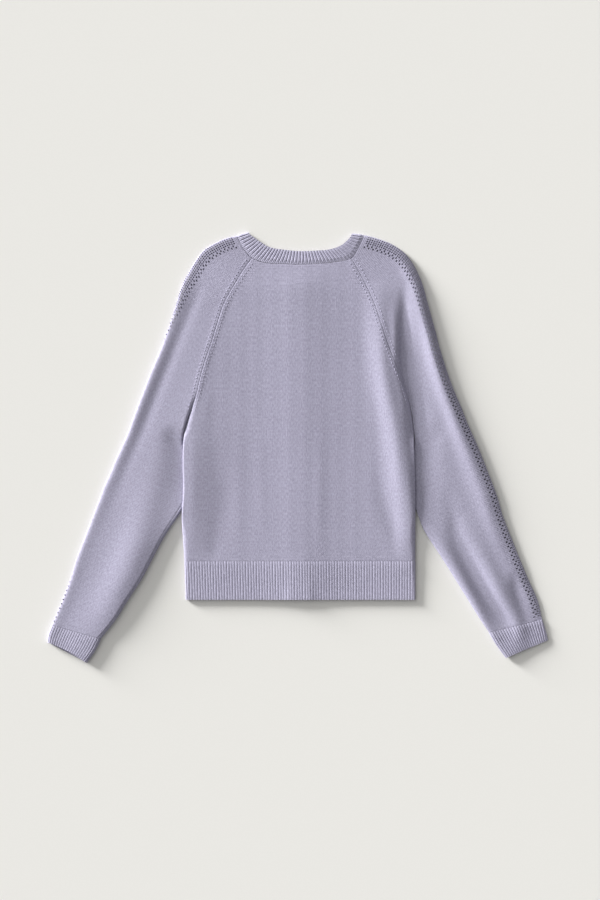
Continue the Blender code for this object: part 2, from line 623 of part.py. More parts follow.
def add_object(name, verts, faces, material):
    mesh = bpy.data.meshes.new(name)
    mesh.from_pydata((np.asarray(verts) * MM).tolist(), [], faces)
    shape = bmesh.new()
    shape.from_mesh(mesh)
    bmesh.ops.recalc_face_normals(shape, faces=shape.faces)
    shape.to_mesh(mesh)
    shape.free()
    mesh.materials.append(material)
    mesh.shade_smooth()
    mesh.set_sharp_from_angle(angle=math.radians(40))
    item = bpy.data.objects.new(name, mesh)
    bpy.context.scene.collection.objects.link(item)
    return item


def facing(line_at, station, columns, limits, outward):
    """Places on a sheet and the directions in which it faces there."""
    before = line_at(max(station - STEP, limits[0])).at(columns)
    after = line_at(min(station + STEP, limits[1])).at(columns)
    line = line_at(station)
    run = line.at(columns, SHIFT) - line.at(columns, -SHIFT)
    normal = np.cross(after - before, run) * outward
    normal /= np.linalg.norm(normal, axis=1)[:, None]
    return line.at(columns), normal


def slab(name, material, line_at, stations, columns, outward, rise=None, inner=None):
    """A closed wall from the lines of a sheet.

    columns are read on each line, rise stands the outer points out, and inner lists
    the columns that the plain inside keeps.
    """
    columns = np.asarray(columns, float)
    count = len(columns)
    rise = np.zeros(count) if rise is None else np.asarray(rise, float)
    inner = list(range(count)) if inner is None else list(inner)
    limits = (stations[0], stations[-1])
    rows = [facing(line_at, s, columns, limits, outward) for s in stations]
    # what lies on the floor stays flat
    outer = [place + normal * (rise * ease(normal[:, 2], -0.3, 0.1))[:, None]
             for place, normal in rows]
    inside = [place[inner] - normal[inner] * WALL for place, normal in rows]
    verts = np.concatenate(outer + inside)
    first_inside = count * len(rows)
    width = len(inner)
    faces = []
    for i in range(len(rows) - 1):
        for j in range(count - 1):
            a = i * count + j
            faces.append((a, a + 1, a + count + 1, a + count))
        for j in range(width - 1):
            a = first_inside + i * width + j
            faces.append((a, a + width, a + width + 1, a + 1))
        for j, k in ((0, 0), (count - 1, width - 1)):
            a, b = i * count + j, first_inside + i * width + k
            faces.append((a, a + count, b + width, b))
    for i in (0, len(rows) - 1):
        for k in range(width - 1):
            low = first_inside + i * width + k
            start, end = inner[k], inner[k + 1]
            half = (start + end) // 2 if end - start > 1 else start
            for j in range(start, end):
                corner = low if j < max(half, start + 1) else low + 1
                faces.append((i * count + j, i * count + j + 1, corner))
            faces.append((low, low + 1, i * count + max(half, start + 1)))
    return add_object(name, verts, faces, material)


def spread(*stretches):
    """Column values: a number of even steps on each stretch between marks."""
    values = [0.0]
    for k, steps in enumerate(stretches):
        values += [k + (j + 1) / steps for j in range(steps)]
    return values


def rib_columns(start, end, ribs):
    """Columns, rises and kept inner columns of a stretch of ribs, without its end."""
    columns = [start + (end - start) * j / (ribs * RIB_STEPS) for j in range(ribs * RIB_STEPS)]
    rise = [RIB_RISE * RIB_PROFILE[j % RIB_STEPS] for j in range(ribs * RIB_STEPS)]
    inner = list(range(0, ribs * RIB_STEPS, RIB_STEPS))
    return columns, rise, inner


BODY_STATIONS = [0.02, *range(1, 12), 11.5, 12, 12.5, 13, 14, 15, 16, HEM_STATION - STEP]
SLEEVE_STATIONS = [0.02, *range(1, 12), 11.5, 12, 12.5, *range(13, 24), CUFF_STATION - STEP]
HEM_STATIONS = [HEM_STATION + STEP, HEM_STATION + 1]
BAND_STEPS = [0.0, 1.0]
CUFF_START = 0.008    # a cuff begins this part of its length from its seam


def build_body(material):
    slab("back", material, back_line, BODY_STATIONS, spread(4, 18, 4), 1)
    for side, outward in (("left", -1), ("right", 1)):
        slab("front_" + side, material, lambda s, side=side: front_line(s, side),
             BODY_STATIONS, spread(4, 6), outward)


def build_hem(material):
    columns, rise, inner = rib_columns(0.0, 1.0, HEM_RIBS)

    def rib_line(station):
        line = back_line(station)
        line.marks = [0.0, line.length]
        return line

    slab("hem_rib_back", material, rib_line, HEM_STATIONS, columns + [1.0], 1,
         rise + [0.0], inner + [len(columns)])
    for side, outward in (("left", -1), ("right", 1)):
        slab("hem_rib_front_" + side, material, lambda s, side=side: front_line(s, side),
             HEM_STATIONS, spread(4, 6), outward)


def build_sleeves(material):
    for sleeve in (LEFT, RIGHT):
        slab("sleeve_" + sleeve.side, material, lambda s: sleeve_line(sleeve, s),
             SLEEVE_STATIONS, spread(16, 5, 6), sleeve.sign)
        columns, rise, inner = rib_columns(0.0, 1.0, CUFF_RIBS // 2)
        plain = spread(1, 5, 5)[1:]
        first = len(columns)
        slab("cuff_" + sleeve.side, material, lambda t: cuff_line(sleeve, t),
             [CUFF_START, 0.5, 1.0], columns + plain, sleeve.sign,
             rise + [0.0] * len(plain), inner + list(range(first, first + len(plain))))


def build_neckband(material):
    middle = neck_line(0.5)
    ribs = round((middle.marks[2] - middle.marks[1]) / NECK_PITCH)
    columns, rise, kept = rib_columns(1.0, 2.0, ribs)
    before = [j / NECK_PLAIN for j in range(NECK_PLAIN)]
    after = [2 + j / NECK_PLAIN for j in range(NECK_PLAIN + 1)]
    inner = [*range(NECK_PLAIN), *(NECK_PLAIN + k for k in kept),
             *(NECK_PLAIN + len(columns) + k for k in range(len(after)))]
    slab("neckband", material, neck_line, [0.02, 0.5, 1.0], before + columns + after, -1,
         [0.0] * len(before) + rise + [0.0] * len(after), inner)


def build_bands(material):
    for name, height in (("button_band_left", BUTTON_BAND_Z),
                         ("button_band_right", HOLE_BAND_Z)):
        def band_line(t, height=height):
            y = BAND_TOP_Y + (HEM_Y - BAND_TOP_Y) * t
            return Line([(CENTRE_X - BAND_HALF, y, height), (CENTRE_X + BAND_HALF, y, height)])

        slab(name, material, band_line, BAND_STEPS, [0.0, 1.0], -1)


# Profile of a button, from the middle of its outer face round to its back
BUTTON_PROFILE = [(3.8, 0.6), (4.6, 0.0), (BUTTON_RADIUS, 0.5), (BUTTON_RADIUS, 1.6),
                  (5.4, BUTTON_THICK)]
BUTTON_SIDES = 14


def build_buttons(material):
    for number in range(BUTTON_COUNT):
        y = FIRST_BUTTON_Y + (LAST_BUTTON_Y - FIRST_BUTTON_Y) * number / (BUTTON_COUNT - 1)
        verts = []
        for radius, height in BUTTON_PROFILE:
            for k in range(BUTTON_SIDES):
                angle = 2 * math.pi * k / BUTTON_SIDES
                verts.append((CENTRE_X + radius * math.cos(angle),
                              y + radius * math.sin(angle), height))
        faces = [tuple(range(BUTTON_SIDES))]
        for ring in range(len(BUTTON_PROFILE) - 1):
            for k in range(BUTTON_SIDES):
                a, b = ring * BUTTON_SIDES + k, ring * BUTTON_SIDES + (k + 1) % BUTTON_SIDES
                faces.append((a, b, b + BUTTON_SIDES, a + BUTTON_SIDES))
        faces.append(tuple(len(verts) - 1 - k for k in range(BUTTON_SIDES)))
        add_object("button_%d" % (number + 1), verts, faces, material)


def main():
    for item in list(bpy.data.objects):
        bpy.data.objects.remove(item, do_unlink=True)
    lilac = knit("lilac fine-gauge wool and cotton knit", (0.40, 0.37, 0.49))
    rib = knit("lilac rib knit", (0.38, 0.35, 0.47))
    shell = knit("dyed resin button", (0.46, 0.43, 0.54))
    build_body(lilac)
    build_sleeves(lilac)
    build_hem(rib)
    build_neckband(rib)
    build_bands(rib)
    build_buttons(shell)


main()
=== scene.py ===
import math
import bpy
import numpy as np
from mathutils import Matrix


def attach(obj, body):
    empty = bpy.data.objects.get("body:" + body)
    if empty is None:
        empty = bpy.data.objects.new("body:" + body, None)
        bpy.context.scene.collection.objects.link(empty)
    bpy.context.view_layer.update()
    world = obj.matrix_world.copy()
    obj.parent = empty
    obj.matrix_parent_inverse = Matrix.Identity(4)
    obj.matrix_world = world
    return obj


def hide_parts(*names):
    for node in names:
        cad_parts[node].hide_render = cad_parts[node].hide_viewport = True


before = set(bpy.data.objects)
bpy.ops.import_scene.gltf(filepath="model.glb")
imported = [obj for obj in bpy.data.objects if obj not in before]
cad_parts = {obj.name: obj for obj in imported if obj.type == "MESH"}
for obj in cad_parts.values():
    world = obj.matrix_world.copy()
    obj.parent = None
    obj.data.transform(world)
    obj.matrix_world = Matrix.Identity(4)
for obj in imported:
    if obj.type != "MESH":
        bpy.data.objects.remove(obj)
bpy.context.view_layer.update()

# Raglan cardigan in a fine lilac knit with pointelle lace down both sleeves.
# It lies buttoned on its front, so the wearer's left is at -X.
# Everything is worked out in millimetres and turned into metres where a mesh is made.
mm = 0.001

cloth = {
    "wall": 1.4,           # thickness of the knit
    "seamGap": 0.18,       # each piece ends this far from its seam line
    "faceGap": 0.15,       # half the gap between two edges that meet face to face
    "thin": 3.7,           # height of two layers pressed on each other, with air between
    "air": 1.0,            # between the back and what it lies on
    "fairing": 3.0,        # how sharply one height gives way to another
    "seamDip": (0.2, 0.9),      # depth and width of a raglan seam on the body's side
    "sleeveDip": (0.25, 0.8),   # and on the sleeve's
    "neckDip": (0.1, 0.9),
    "welt": (0.15, 3.2, 1.3),   # soft welt beside a raglan seam: height, place, width
    "edgeRound": 9.0,      # widest rounding of an edge, and the tightest
    "tightest": 1.7,
    "edgeProbe": 3.0,      # an edge takes its heights from this far inside it
    "ribsFacing": (-0.3, 0.1),  # ribs rise where the cloth faces up, none below
    "dipFades": 0.6,       # stations past the underarm over which the seam's dip ends
}

body = {
    "centreX": 4.0, "hemSeamY": -182.0, "hemY": -244.0,
    "topZ": 6.0, "edgeZ": 4.6,      # heights of the back inside, and at neck and hem
    "neckEase": (310, 240), "hemEase": (-248, -182), "sleeveEase": (185, 230),
    "placketRise": 2.1, "placketSpread": 46.0, "placketEase": (314, 248),
    "tuckEase": (34, 17),           # the lift over a tucked sleeve, from the side seam
    "columns": 112, "rowPitch": 3.1,
    "evenFrom": 8, "aboveHem": 0.2,     # where the even rows start and end
}

bands = {
    "half": 12.0, "holeBandZ": 2.5, "buttonBandZ": 4.2, "topY": 255.0,
    "fallEase": (46, 13),           # cloth falls off the bands, from their middle
    "neckEase": (285, 260), "sunk": 0.65,
    "firstButtonY": 243.0, "lastButtonY": -228.0, "buttons": 7,
}

# stations down the body and the sleeves
firstStation = 0.02
roundingFrom = 8.5        # the edges at the armhole start to round here
underarm = 11.0
hemStation = 17.0
cuffStation = 24.0
afterSeam = 0.004         # stations between a seam and the first row after it
sideColumn = {"left": 1, "right": 2}

# raglan seam on the back, neck to underarm: y, left x, right x
raglan = [(302, -72, 86), (283, -86, 97.5), (262, -98.5, 108.5), (243, -110, 117.5),
          (224, -119, 125.5), (198, -127.5, 134), (169, -136.5, 143.5), (139, -146.5, 155),
          (110, -155, 166.5), (80, -162, 177), (54, -170.5, 183), (30, -178, 186)]
# and on the front, lower at the neck
frontRaglan = [(274, -75, 90), (258, -88, 101), (243, -100, 110), (226, -111, 119),
               (207, -120, 127), (186, -128.5, 136), (160, -137.5, 145), (133, -147.5, 155),
               (106, -155.5, 167), (79, -162.5, 177), (54, -170.5, 183), (30, -178, 186)]
# side seam: y, left x, right x, lift of the front over the sleeve tucked under it, left
# and right
sideSeam = [(8, -181.5, 187, 5.6, 4.3), (-30, -182.5, 188, 5.6, 4.3),
            (-70, -181.5, 189, 5.6, 4.3), (-109, -184, 189, 4.6, 4.0),
            (-145, -182.5, 189, 0.0, 0.0), (-182, -180, 189, 0.0, 0.0),
            (-244, -178, 189, 0.0, 0.0)]

# seamTurn is how far the underarm seam turns off the inner edge, outerSlope how much of
# the outer fold falls as a slope, and mouth how far the cuff's upper layer draws back
sleeves = {
    "left": {
        "sign": -1, "seamTurn": 7.0, "outerSlope": 0.0, "pressedTo": 5.0,
        "cuffRound": 5.0, "cuffRise": 0.55, "mouth": 3.6,
        "outer": [(-97, 338), (-119, 331.5), (-145, 318), (-156.5, 306), (-171, 283),
                  (-184, 258), (-194, 226), (-206, 190), (-218, 158), (-233, 123),
                  (-246, 90), (-256, 64), (-264, 42), (-271, 23), (-280, 3), (-290, -19),
                  (-299, -41), (-309, -63), (-316, -82), (-326, -108), (-339, -142),
                  (-352, -176), (-363, -212), (-377, -249), (-392, -284)],
        "inner": [(-181.9, 8), (-173, -15), (-169, -40), (-171, -65), (-177, -88),
                  (-189, -109), (-200, -125), (-215, -149), (-232, -181), (-249, -213),
                  (-270, -245), (-290, -277), (-313, -306)],
        "cuffOuter": [(-392, -284), (-397, -298), (-399, -312)],
        "cuffInner": [(-313, -306), (-323, -326), (-336, -345)],
        # station, how far the lace's middle is from the outer fold, on to the upper layer
        "laceShift": [(0, 1), (5, 1), (6, -7), (7, -17), (8, -20), (21, -20), (22.5, -17),
                      (24, -15)],
    },
    "right": {
        "sign": 1, "seamTurn": -9.0, "outerSlope": 0.65, "pressedTo": 3.7,
        "cuffRound": 34.0, "cuffRise": 0.75, "mouth": 0.6,
        "outer": [(107, 339), (126, 334), (150, 325), (172, 310), (188, 288), (200, 261),
                  (209, 229), (219, 193), (228, 158), (239, 123), (251, 90), (262, 64),
                  (271, 41), (279, 23), (288, 3), (297, -19), (307, -45), (318, -74),
                  (322, -86), (328, -107), (341, -141), (355, -176), (370, -212),
                  (385, -246), (392, -275)],
        "inner": [(187.4, 8), (181, -15), (177, -40), (179, -65), (186, -90), (194, -113),
                  (201, -131), (212, -149), (233, -181), (253, -213), (273, -245),
                  (293, -277), (306, -296)],
        "cuffOuter": [(392, -275), (397, -293), (401, -309)],
        "cuffInner": [(306, -296), (319, -317), (334, -337)],
        "laceShift": [(0, 2), (4, 0), (8, -4), (12, -8.5), (18, -10), (21, -8.5), (24, -7)],
    },
}

neck = {
    "seamBack": [(-97, 338), (-86, 317), (-72, 302), (-51, 294.5), (-24, 293), (5, 292),
                 (37, 293.5), (62, 296), (86, 302), (98, 320), (107, 339)],
    "edgeBack": [(-78, 343), (-72, 337), (-59, 328), (-43, 319), (-19, 315), (5, 313),
                 (34, 314), (53, 316), (70, 322), (83, 333), (88, 341)],
    "seamLeft": [(-8, 236), (-46, 248), (-75, 274), (-91, 307), (-97, 338)],
    "edgeLeft": [(-8, 255), (-37, 266), (-59, 286), (-72, 312), (-78, 343)],
    "seamRight": [(16, 236), (56, 248), (90, 274), (101, 307), (107, 339)],
    "edgeRight": [(16, 255), (48, 266), (70, 286), (83, 312), (88, 341)],
    "round": 3.2, "foldZ": 2.3,         # rounding of the shoulder folds, and their height
    "bendEase": 4, "frontDrop": 38.0,   # stations of curved rows, and how far fronts drop
}

# folds of the upper layer: half width, then x, y, height along the crest or trough
folds = [
    # the left of the back, held up by the sleeve tucked under it, and its rolled edge
    (80.0, [(-160, 215, 0.0), (-160, 140, 1.4), (-165, 60, 2.2), (-170, -40, 2.4),
            (-170, -120, 1.2), (-168, -182, 0.0)]),
    (20.0, [(-140, 180, 0.0), (-150, 110, 0.5), (-158, 60, 1.0), (-164, 0, 1.6),
            (-166, -60, 1.8), (-166, -120, 1.6), (-162, -165, 0.6), (-160, -195, 0.0)]),
    # welt along the left raglan seam
    (6.0, [(-92, 275, 0.0), (-109, 243, 0.25), (-127, 198, 0.4), (-146, 139, 0.5),
           (-161, 80, 0.5), (-176, 30, 0.4), (-180, 10, 0.0)]),
    # roll down the right of the back, and its shoulder by the armhole
    (19.0, [(126, 265, 0.0), (131, 222, 2.4), (135, 171, 5.2), (141, 115, 6.4),
            (156, 35, 6.8), (168, -53, 6.0), (178, -125, 3.6), (180, -165, 1.4),
            (180, -205, 0.0)]),
    (8.0, [(153, 235, 0.0), (157, 171, 2.2), (158, 125, 1.8), (168, 83, 1.8),
           (174, 27, 1.0), (180, -25, 1.3), (182, -70, 1.3), (183, -120, 0.6),
           (183, -160, 0.0)]),
    # deep fold at the right armhole, going on beside the body
    (8.0, [(170, 258, 0.0), (172.5, 211, -3.2), (173.5, 171, -6.5), (177, 115, -8.0),
           (189.5, 75, -6.2), (196.5, 27, -4.4), (198, -53, -3.6), (199, -101, -1.5)]),
    (17.0, [(178, 220, 0.0), (183, 171, -1.4), (190, 107, -2.6), (200, 43, -2.4),
            (205, -37, -1.8), (210, -100, 0.0)]),
    # soft fold inside the left sleeve's outer roll, and the ridge low on that sleeve
    (9.0, [(-150, 268, 0.0), (-163, 235, -0.8), (-190, 171, -0.9), (-216, 107, -1.0),
           (-248, 27, -0.8), (-280, -53, -0.4), (-306, -125, 0.0)]),
    (30.0, [(-180, 110, 0.0), (-198, 27, 0.4), (-214, -53, 1.4), (-238, -110, 3.8),
            (-252, -149, 5.0), (-274, -205, 5.4), (-302, -261, 4.0), (-330, -300, 1.8),
            (-348, -330, 1.0)]),
    # long ridge down the right sleeve
    (13.0, [(177, 262, 0.0), (188, 235, 1.4), (210, 171, 2.0), (228, 107, 2.4),
            (256, 27, 2.6), (283, -53, 2.2), (309, -117, 1.2), (330, -170, 0.0)]),
    # rolled inner edge low on the right sleeve, the fold beside it and the next ridge
    (9.0, [(205, -110, 0.0), (228, -149, 1.8), (264, -213, 3.4), (290, -258, 3.0),
           (310, -292, 1.0), (322, -318, 0.0)]),
    (11.0, [(236, -60, 0.0), (248, -110, -1.4), (258, -149, -3.0), (292, -213, -4.4),
            (322, -261, -4.0), (340, -284, -2.2), (352, -304, 0.0)]),
    (14.0, [(262, -110, 0.0), (284, -149, 1.4), (316, -213, 3.2), (340, -261, 2.8),
            (350, -284, 2.8), (358, -304, 1.2), (364, -324, 0.0)]),
    (8.0, [(342, -200, 0.0), (352, -232, -2.2), (364, -264, -1.2), (370, -285, 0.0)]),
    (34.0, [(340, -215, 0.0), (366, -260, -1.4), (386, -305, -2.8), (390, -330, -3.0)]),
    # shallow falls low on the back
    (16.0, [(-122, 20, 0.0), (-120, -40, -0.7), (-116, -85, -1.0), (-128, -160, -0.7),
            (-130, -182, 0.0)]),
    (12.0, [(128, -20, 0.0), (138, -75, -0.8), (152, -130, -1.2), (160, -172, 0.0)]),
    (9.0, [(-56, 60, 0.0), (-57, -20, 0.35), (-55, -110, 0.4), (-54, -178, 0.0)]),
    (9.0, [(34, 40, 0.0), (35, -40, 0.3), (34, -120, 0.35), (36, -178, 0.0)]),
]
foldReach = 3.2           # half widths past which a fold is nothing


def ease(value, start, end):
    t = np.clip((value - start) / (end - start), 0.0, 1.0)
    return t * t * (3.0 - 2.0 * t)


def higherOf(first, second):
    # the higher of two heights, with a soft change between them
    sharp = cloth["fairing"]
    return np.logaddexp(sharp * first, sharp * second) / sharp


def through(rows, station):
    # smooth curve through equally spaced rows
    rows = np.asarray(rows, float)
    slopes = np.gradient(rows, axis=0)
    station = np.clip(np.asarray(station, float), 0.0, len(rows) - 1.0)
    first = np.minimum(station.astype(int), len(rows) - 2)
    t = (station - first)[..., None]
    a, b, ta, tb = rows[first], rows[first + 1], slopes[first], slopes[first + 1]
    return ((2 * t**3 - 3 * t**2 + 1) * a + (t**3 - 2 * t**2 + t) * ta
            + (3 * t**2 - 2 * t**3) * b + (t**3 - t**2) * tb)


def lengthAlong(path):
    steps = np.linalg.norm(np.diff(path, axis=0), axis=1)
    return np.concatenate([[0.0], np.cumsum(steps)])


print("folding the cloth")

# corners of the height map
mapLow, mapHigh = np.array([-430, -370]), np.array([430, 370])


def addFold(heights, halfWidth, places):
    # a bell across the line of a fold, worked out in a window round it
    places = np.asarray(places, float)
    reach = foldReach * halfWidth
    low = np.maximum(np.floor(places[:, :2].min(axis=0) - reach), mapLow).astype(int)
    high = np.minimum(np.ceil(places[:, :2].max(axis=0) + reach), mapHigh).astype(int)
    y, x = np.meshgrid(np.arange(low[1], high[1] + 1), np.arange(low[0], high[0] + 1),
                       indexing="ij")
    line = through(places, np.linspace(0, len(places) - 1, 6 * len(places)))
    best = np.full(x.shape, np.inf)
    height = np.zeros(x.shape)
    for start, end in zip(line[:-1], line[1:]):
        run = end[:2] - start[:2]
        t = np.clip(((x - start[0]) * run[0] + (y - start[1]) * run[1]) / (run @ run), 0, 1)
        gap = (x - start[0] - t * run[0])**2 + (y - start[1] - t * run[1])**2
        nearer = gap < best
        best = np.where(nearer, gap, best)
        height = np.where(nearer, start[2] + t * (end[2] - start[2]), height)
    part = heights[low[1] - mapLow[1]:high[1] - mapLow[1] + 1,
                   low[0] - mapLow[0]:high[0] - mapLow[0] + 1]
    part += height * np.exp(-best / halfWidth**2)


def makeHeights():
    # outer face of the upper layer over the floor, a value for each millimetre
    y, x = np.meshgrid(np.arange(mapLow[1], mapHigh[1] + 1.0),
                       np.arange(mapLow[0], mapHigh[0] + 1.0), indexing="ij")
    fromMiddle = x - body["centreX"]
    inside = np.maximum(ease(y, *body["neckEase"]) * ease(y, *body["hemEase"]),
                        ease(np.abs(fromMiddle), *body["sleeveEase"]))
    heights = body["edgeZ"] + (body["topZ"] - body["edgeZ"]) * inside
    heights += (body["placketRise"] * ease(y, *body["placketEase"])
                * np.exp(-(fromMiddle / body["placketSpread"])**2))
    for halfWidth, places in folds:
        addFold(heights, halfWidth, places)
    return higherOf(cloth["thin"], heights)


heightMap = makeHeights()


def topHeight(x, y):
    column = np.clip(x - mapLow[0], 0, heightMap.shape[1] - 1.001)
    row = np.clip(y - mapLow[1], 0, heightMap.shape[0] - 1.001)
    i, j = row.astype(int), column.astype(int)
    u, v = column - j, row - i
    return ((heightMap[i, j] * (1 - u) + heightMap[i, j + 1] * u) * (1 - v)
            + (heightMap[i + 1, j] * (1 - u) + heightMap[i + 1, j + 1] * u) * v)


class ClothLine:
    # a dense line of places, split by marks into stretches

    def __init__(self, places, marks=None):
        self.places = np.asarray(places, float)
        self.along = lengthAlong(self.places)
        self.length = self.along[-1]
        self.marks = [0.0, self.length] if marks is None else [self.along[k] for k in marks]

    def distances(self, columns):
        return np.interp(columns, np.arange(len(self.marks)), self.marks)

    def atDistance(self, distance):
        return np.stack([np.interp(distance, self.along, self.places[:, k])
                         for k in range(3)], axis=-1)


def bodyEdge(station, side):
    k = sideColumn[side]
    rows = [(row[k], row[0], 0.0) for row in raglan]
    rows += [(row[k], row[0], row[k + 2]) for row in sideSeam]
    x, y, lift = through(rows, station)
    return x, y, max(lift, 0.0)


def rounding(station):
    return float(ease(station, roundingFrom, underarm))


roundSteps = np.linspace(0, 1, 25)
flatSteps = np.linspace(0, 1, 90)[1:-1]
quarter = np.linspace(0, math.pi / 2, 25)


def roundedEdge(amount, t):
    # from square at amount 0 to a quarter round at 1: way in from the edge, and rise
    angle = t * math.pi / 2
    run = (1 - amount) * t + amount * (1 - np.cos(angle))
    return run, 1 - amount * (1 - np.sin(angle))


def roundWidth(climb, amount):
    wide, tight = cloth["edgeRound"], cloth["tightest"]
    return wide + (float(np.clip(climb * climb / tight, tight, wide)) - wide) * amount


def bend(places, first, last, t):
    # how far a curve is off its chord, t of the way
    path = through(places, np.linspace(first, last, 80))
    along = lengthAlong(path)
    along /= along[-1]
    off = path - (path[0] + (path[-1] - path[0]) * along[:, None])
    return np.stack([np.interp(t, along, off[:, k]) for k in range(2)], axis=-1)


def tuckLift(x, station):
    left, _, liftLeft = bodyEdge(station, "left")
    right, _, liftRight = bodyEdge(station, "right")
    return (liftLeft * ease(x - left, *body["tuckEase"])
            + liftRight * ease(right - x, *body["tuckEase"]))


def bandLift(x, height):
    return height * ease(np.abs(x - body["centreX"]), *bands["fallEase"])


def placketLift(x):
    return bandLift(x, np.where(x < body["centreX"], bands["buttonBandZ"],
                                bands["holeBandZ"]))


def lyingOn(x, y, station):
    # least height of the back over the sleeves and bands under it
    band = bandLift(x, bands["buttonBandZ"]) * ease(y, *bands["neckEase"]) - bands["sunk"]
    return np.maximum(tuckLift(x, station), band) + 2 * cloth["wall"] + cloth["air"]


def sideHeights(station, side):
    x, y, _ = bodyEdge(station, side)
    near = np.array([x + (cloth["edgeProbe"] if side == "left" else -cloth["edgeProbe"])])
    under = tuckLift(near, station)[0]
    top = max(topHeight(near, np.array([y]))[0], lyingOn(near, y, station)[0])
    return under, top, (under + top) / 2


def across(start, end, rounds, amount):
    # shares of the way from start to end, rounded at both ends, and the rise there
    run, riseIn = roundedEdge(amount, roundSteps)
    width = math.hypot(end[0] - start[0], end[1] - start[1])
    first, last = (size / width for size in rounds)
    parts = [run * first] if first else [[0.0]]
    parts.append(first + (1 - first - last) * flatSteps)
    parts.append(1 - (run * last)[::-1] if last else [1.0])
    t = np.concatenate(parts)
    rise = np.ones(t.shape)
    if first:
        rise[:len(riseIn)] = riseIn
    if last:
        rise[-len(riseIn):] = riseIn[::-1]
    return t, rise


print("mixing the materials")


def hexColour(text):
    # an sRGB hex value, turned to linear
    parts = [int(text[k:k + 2], 16) / 255 for k in (1, 3, 5)]
    return tuple(c / 12.92 if c <= 0.04045 else ((c + 0.055) / 1.055)**2.4
                 for c in parts) + (1.0,)


def fillSockets(tree, item, values):
    for name, value in values.items():
        if isinstance(value, bpy.types.NodeSocket):
            tree.links.new(value, item.inputs[name])
        else:
            item.inputs[name].default_value = value


def addNode(tree, kind, values=None, **settings):
    item = tree.nodes.new(kind)
    for name, value in settings.items():
        setattr(item, name, value)
    fillSockets(tree, item, values or {})
    return item


def maths(tree, operation, *values):
    return addNode(tree, "ShaderNodeMath", dict(enumerate(values)),
                   operation=operation).outputs[0]


def mapRange(tree, value, start, end, low, high):
    return addNode(tree, "ShaderNodeMapRange", {
        "Value": value, "From Min": start, "From Max": end, "To Min": low,
        "To Max": high}).outputs[0]


def noise(tree, place, scale, detail, **more):
    return addNode(tree, "ShaderNodeTexNoise", {
        "Vector": place, "Scale": scale, "Detail": detail, **more}).outputs[0]


def mixColours(tree, share, first, second):
    return addNode(tree, "ShaderNodeMix", {0: share, 6: first, 7: second},
                   data_type="RGBA").outputs[2]


def bump(tree, height, strength, depth, **more):
    return addNode(tree, "ShaderNodeBump", {
        "Height": height, "Strength": strength, "Distance": depth * mm, **more}).outputs[0]


def newMaterial(name):
    # with its tree, its shader and the place on the object
    material = bpy.data.materials.new(name)
    material.use_nodes = True
    tree = material.node_tree
    place = addNode(tree, "ShaderNodeTexCoord").outputs["Object"]
    return material, tree, tree.nodes["Principled BSDF"], place


# Wool and cotton blend, spun soft and dyed one shade, knitted in plain jersey or rib.
# The eye sees a matt lilac face with rows of small V stitches, with painted shade darkening
# the grooves between their legs, and a thin halo of loose fibre.
yarn = {
    # the darker lilac is painted shade, laid into the grooves between the stitch legs
    "colour": "#A5A2B6", "paintedShade": "#757188", "light": "#B9B6CB", "halo": "#CFCCE2",
    "course": 2.7,                  # real stitches are 1.8 by 1.4 mm, too fine to show
    "legSlant": 0.9, "grooveDepth": 0.55,
    "stitchBump": (0.4, 0.8), "fibreBump": (0.1, 0.6),      # strength, and depth in mm
    "fibre": 0.7, "speckle": (0.35, 0.7, 0.0, 0.7), "dye": (0.3, 0.7, 0.975, 1.025),
    "rough": (0.0, 1.0, 0.82, 0.96), "gloss": 0.25, "sheen": 0.12, "sheenRough": 0.5,
    "drawn": (0.5, 0.22, 1.0), "dyeScale": 9.0,     # unevenness runs along the wales
}


def knitMaterial(name, wale, paintedShading, loops):
    material, tree, shader, place = newMaterial(name)
    chart = addNode(tree, "ShaderNodeUVMap", uv_map="knit").outputs[0]
    parts = addNode(tree, "ShaderNodeSeparateXYZ", {0: chart})
    # two legs to a wale: the legs' height over the wale and along it
    leg = maths(tree, "PINGPONG", parts.outputs[0], wale / 2)
    legRise = maths(tree, "SINE", maths(tree, "MULTIPLY", leg, 2 * math.pi / wale))
    slant = maths(tree, "MULTIPLY_ADD", leg, yarn["legSlant"], parts.outputs[1])
    loop = maths(tree, "SINE", maths(tree, "MULTIPLY", slant, 2 * math.pi / yarn["course"]))
    loopRise = maths(tree, "MULTIPLY_ADD", loop, loops, 1 - loops)
    stitch = maths(tree, "MULTIPLY", legRise, loopRise)
    # loose fibres and uneven stitches
    fibre = noise(tree, chart, 1 / yarn["fibre"], 3.0, Roughness=0.6)
    drawn = addNode(tree, "ShaderNodeVectorMath", {0: chart, 1: yarn["drawn"]},
                    operation="MULTIPLY").outputs[0]
    uneven = noise(tree, drawn, 1.0, 2.0)
    dye = noise(tree, place, yarn["dyeScale"], 3.0)
    # painted shade: the colour is mixed towards the darker lilac in the grooves between the
    # stitch legs, where shade falls
    grooveShade = mapRange(tree, stitch, 0.0, yarn["grooveDepth"], paintedShading, 0.0)
    shaded = mixColours(tree, grooveShade, hexColour(yarn["colour"]), hexColour(yarn["paintedShade"]))
    spotted = mixColours(tree, mapRange(tree, uneven, *yarn["speckle"]), shaded,
                         hexColour(yarn["light"]))
    colour = addNode(tree, "ShaderNodeHueSaturation",
                     {"Color": spotted, "Value": mapRange(tree, dye, *yarn["dye"])})
    relief = bump(tree, stitch, *yarn["stitchBump"])
    fillSockets(tree, shader, {
        "Base Color": colour.outputs[0],
        "Normal": bump(tree, fibre, *yarn["fibreBump"], Normal=relief),
        "Roughness": mapRange(tree, fibre, *yarn["rough"]),
        "Specular IOR Level": yarn["gloss"], "Sheen Weight": yarn["sheen"],
        "Sheen Roughness": yarn["sheenRough"], "Sheen Tint": hexColour(yarn["halo"])})
    return material


# Linking thread, the same yarn plied tight: a smoother, slightly lighter strand.
plied = {"dark": "#ABA8BE", "light": "#C4C1D5", "grain": 900.0, "bump": (0.3, 0.3),
         "rough": 0.8, "gloss": 0.3}


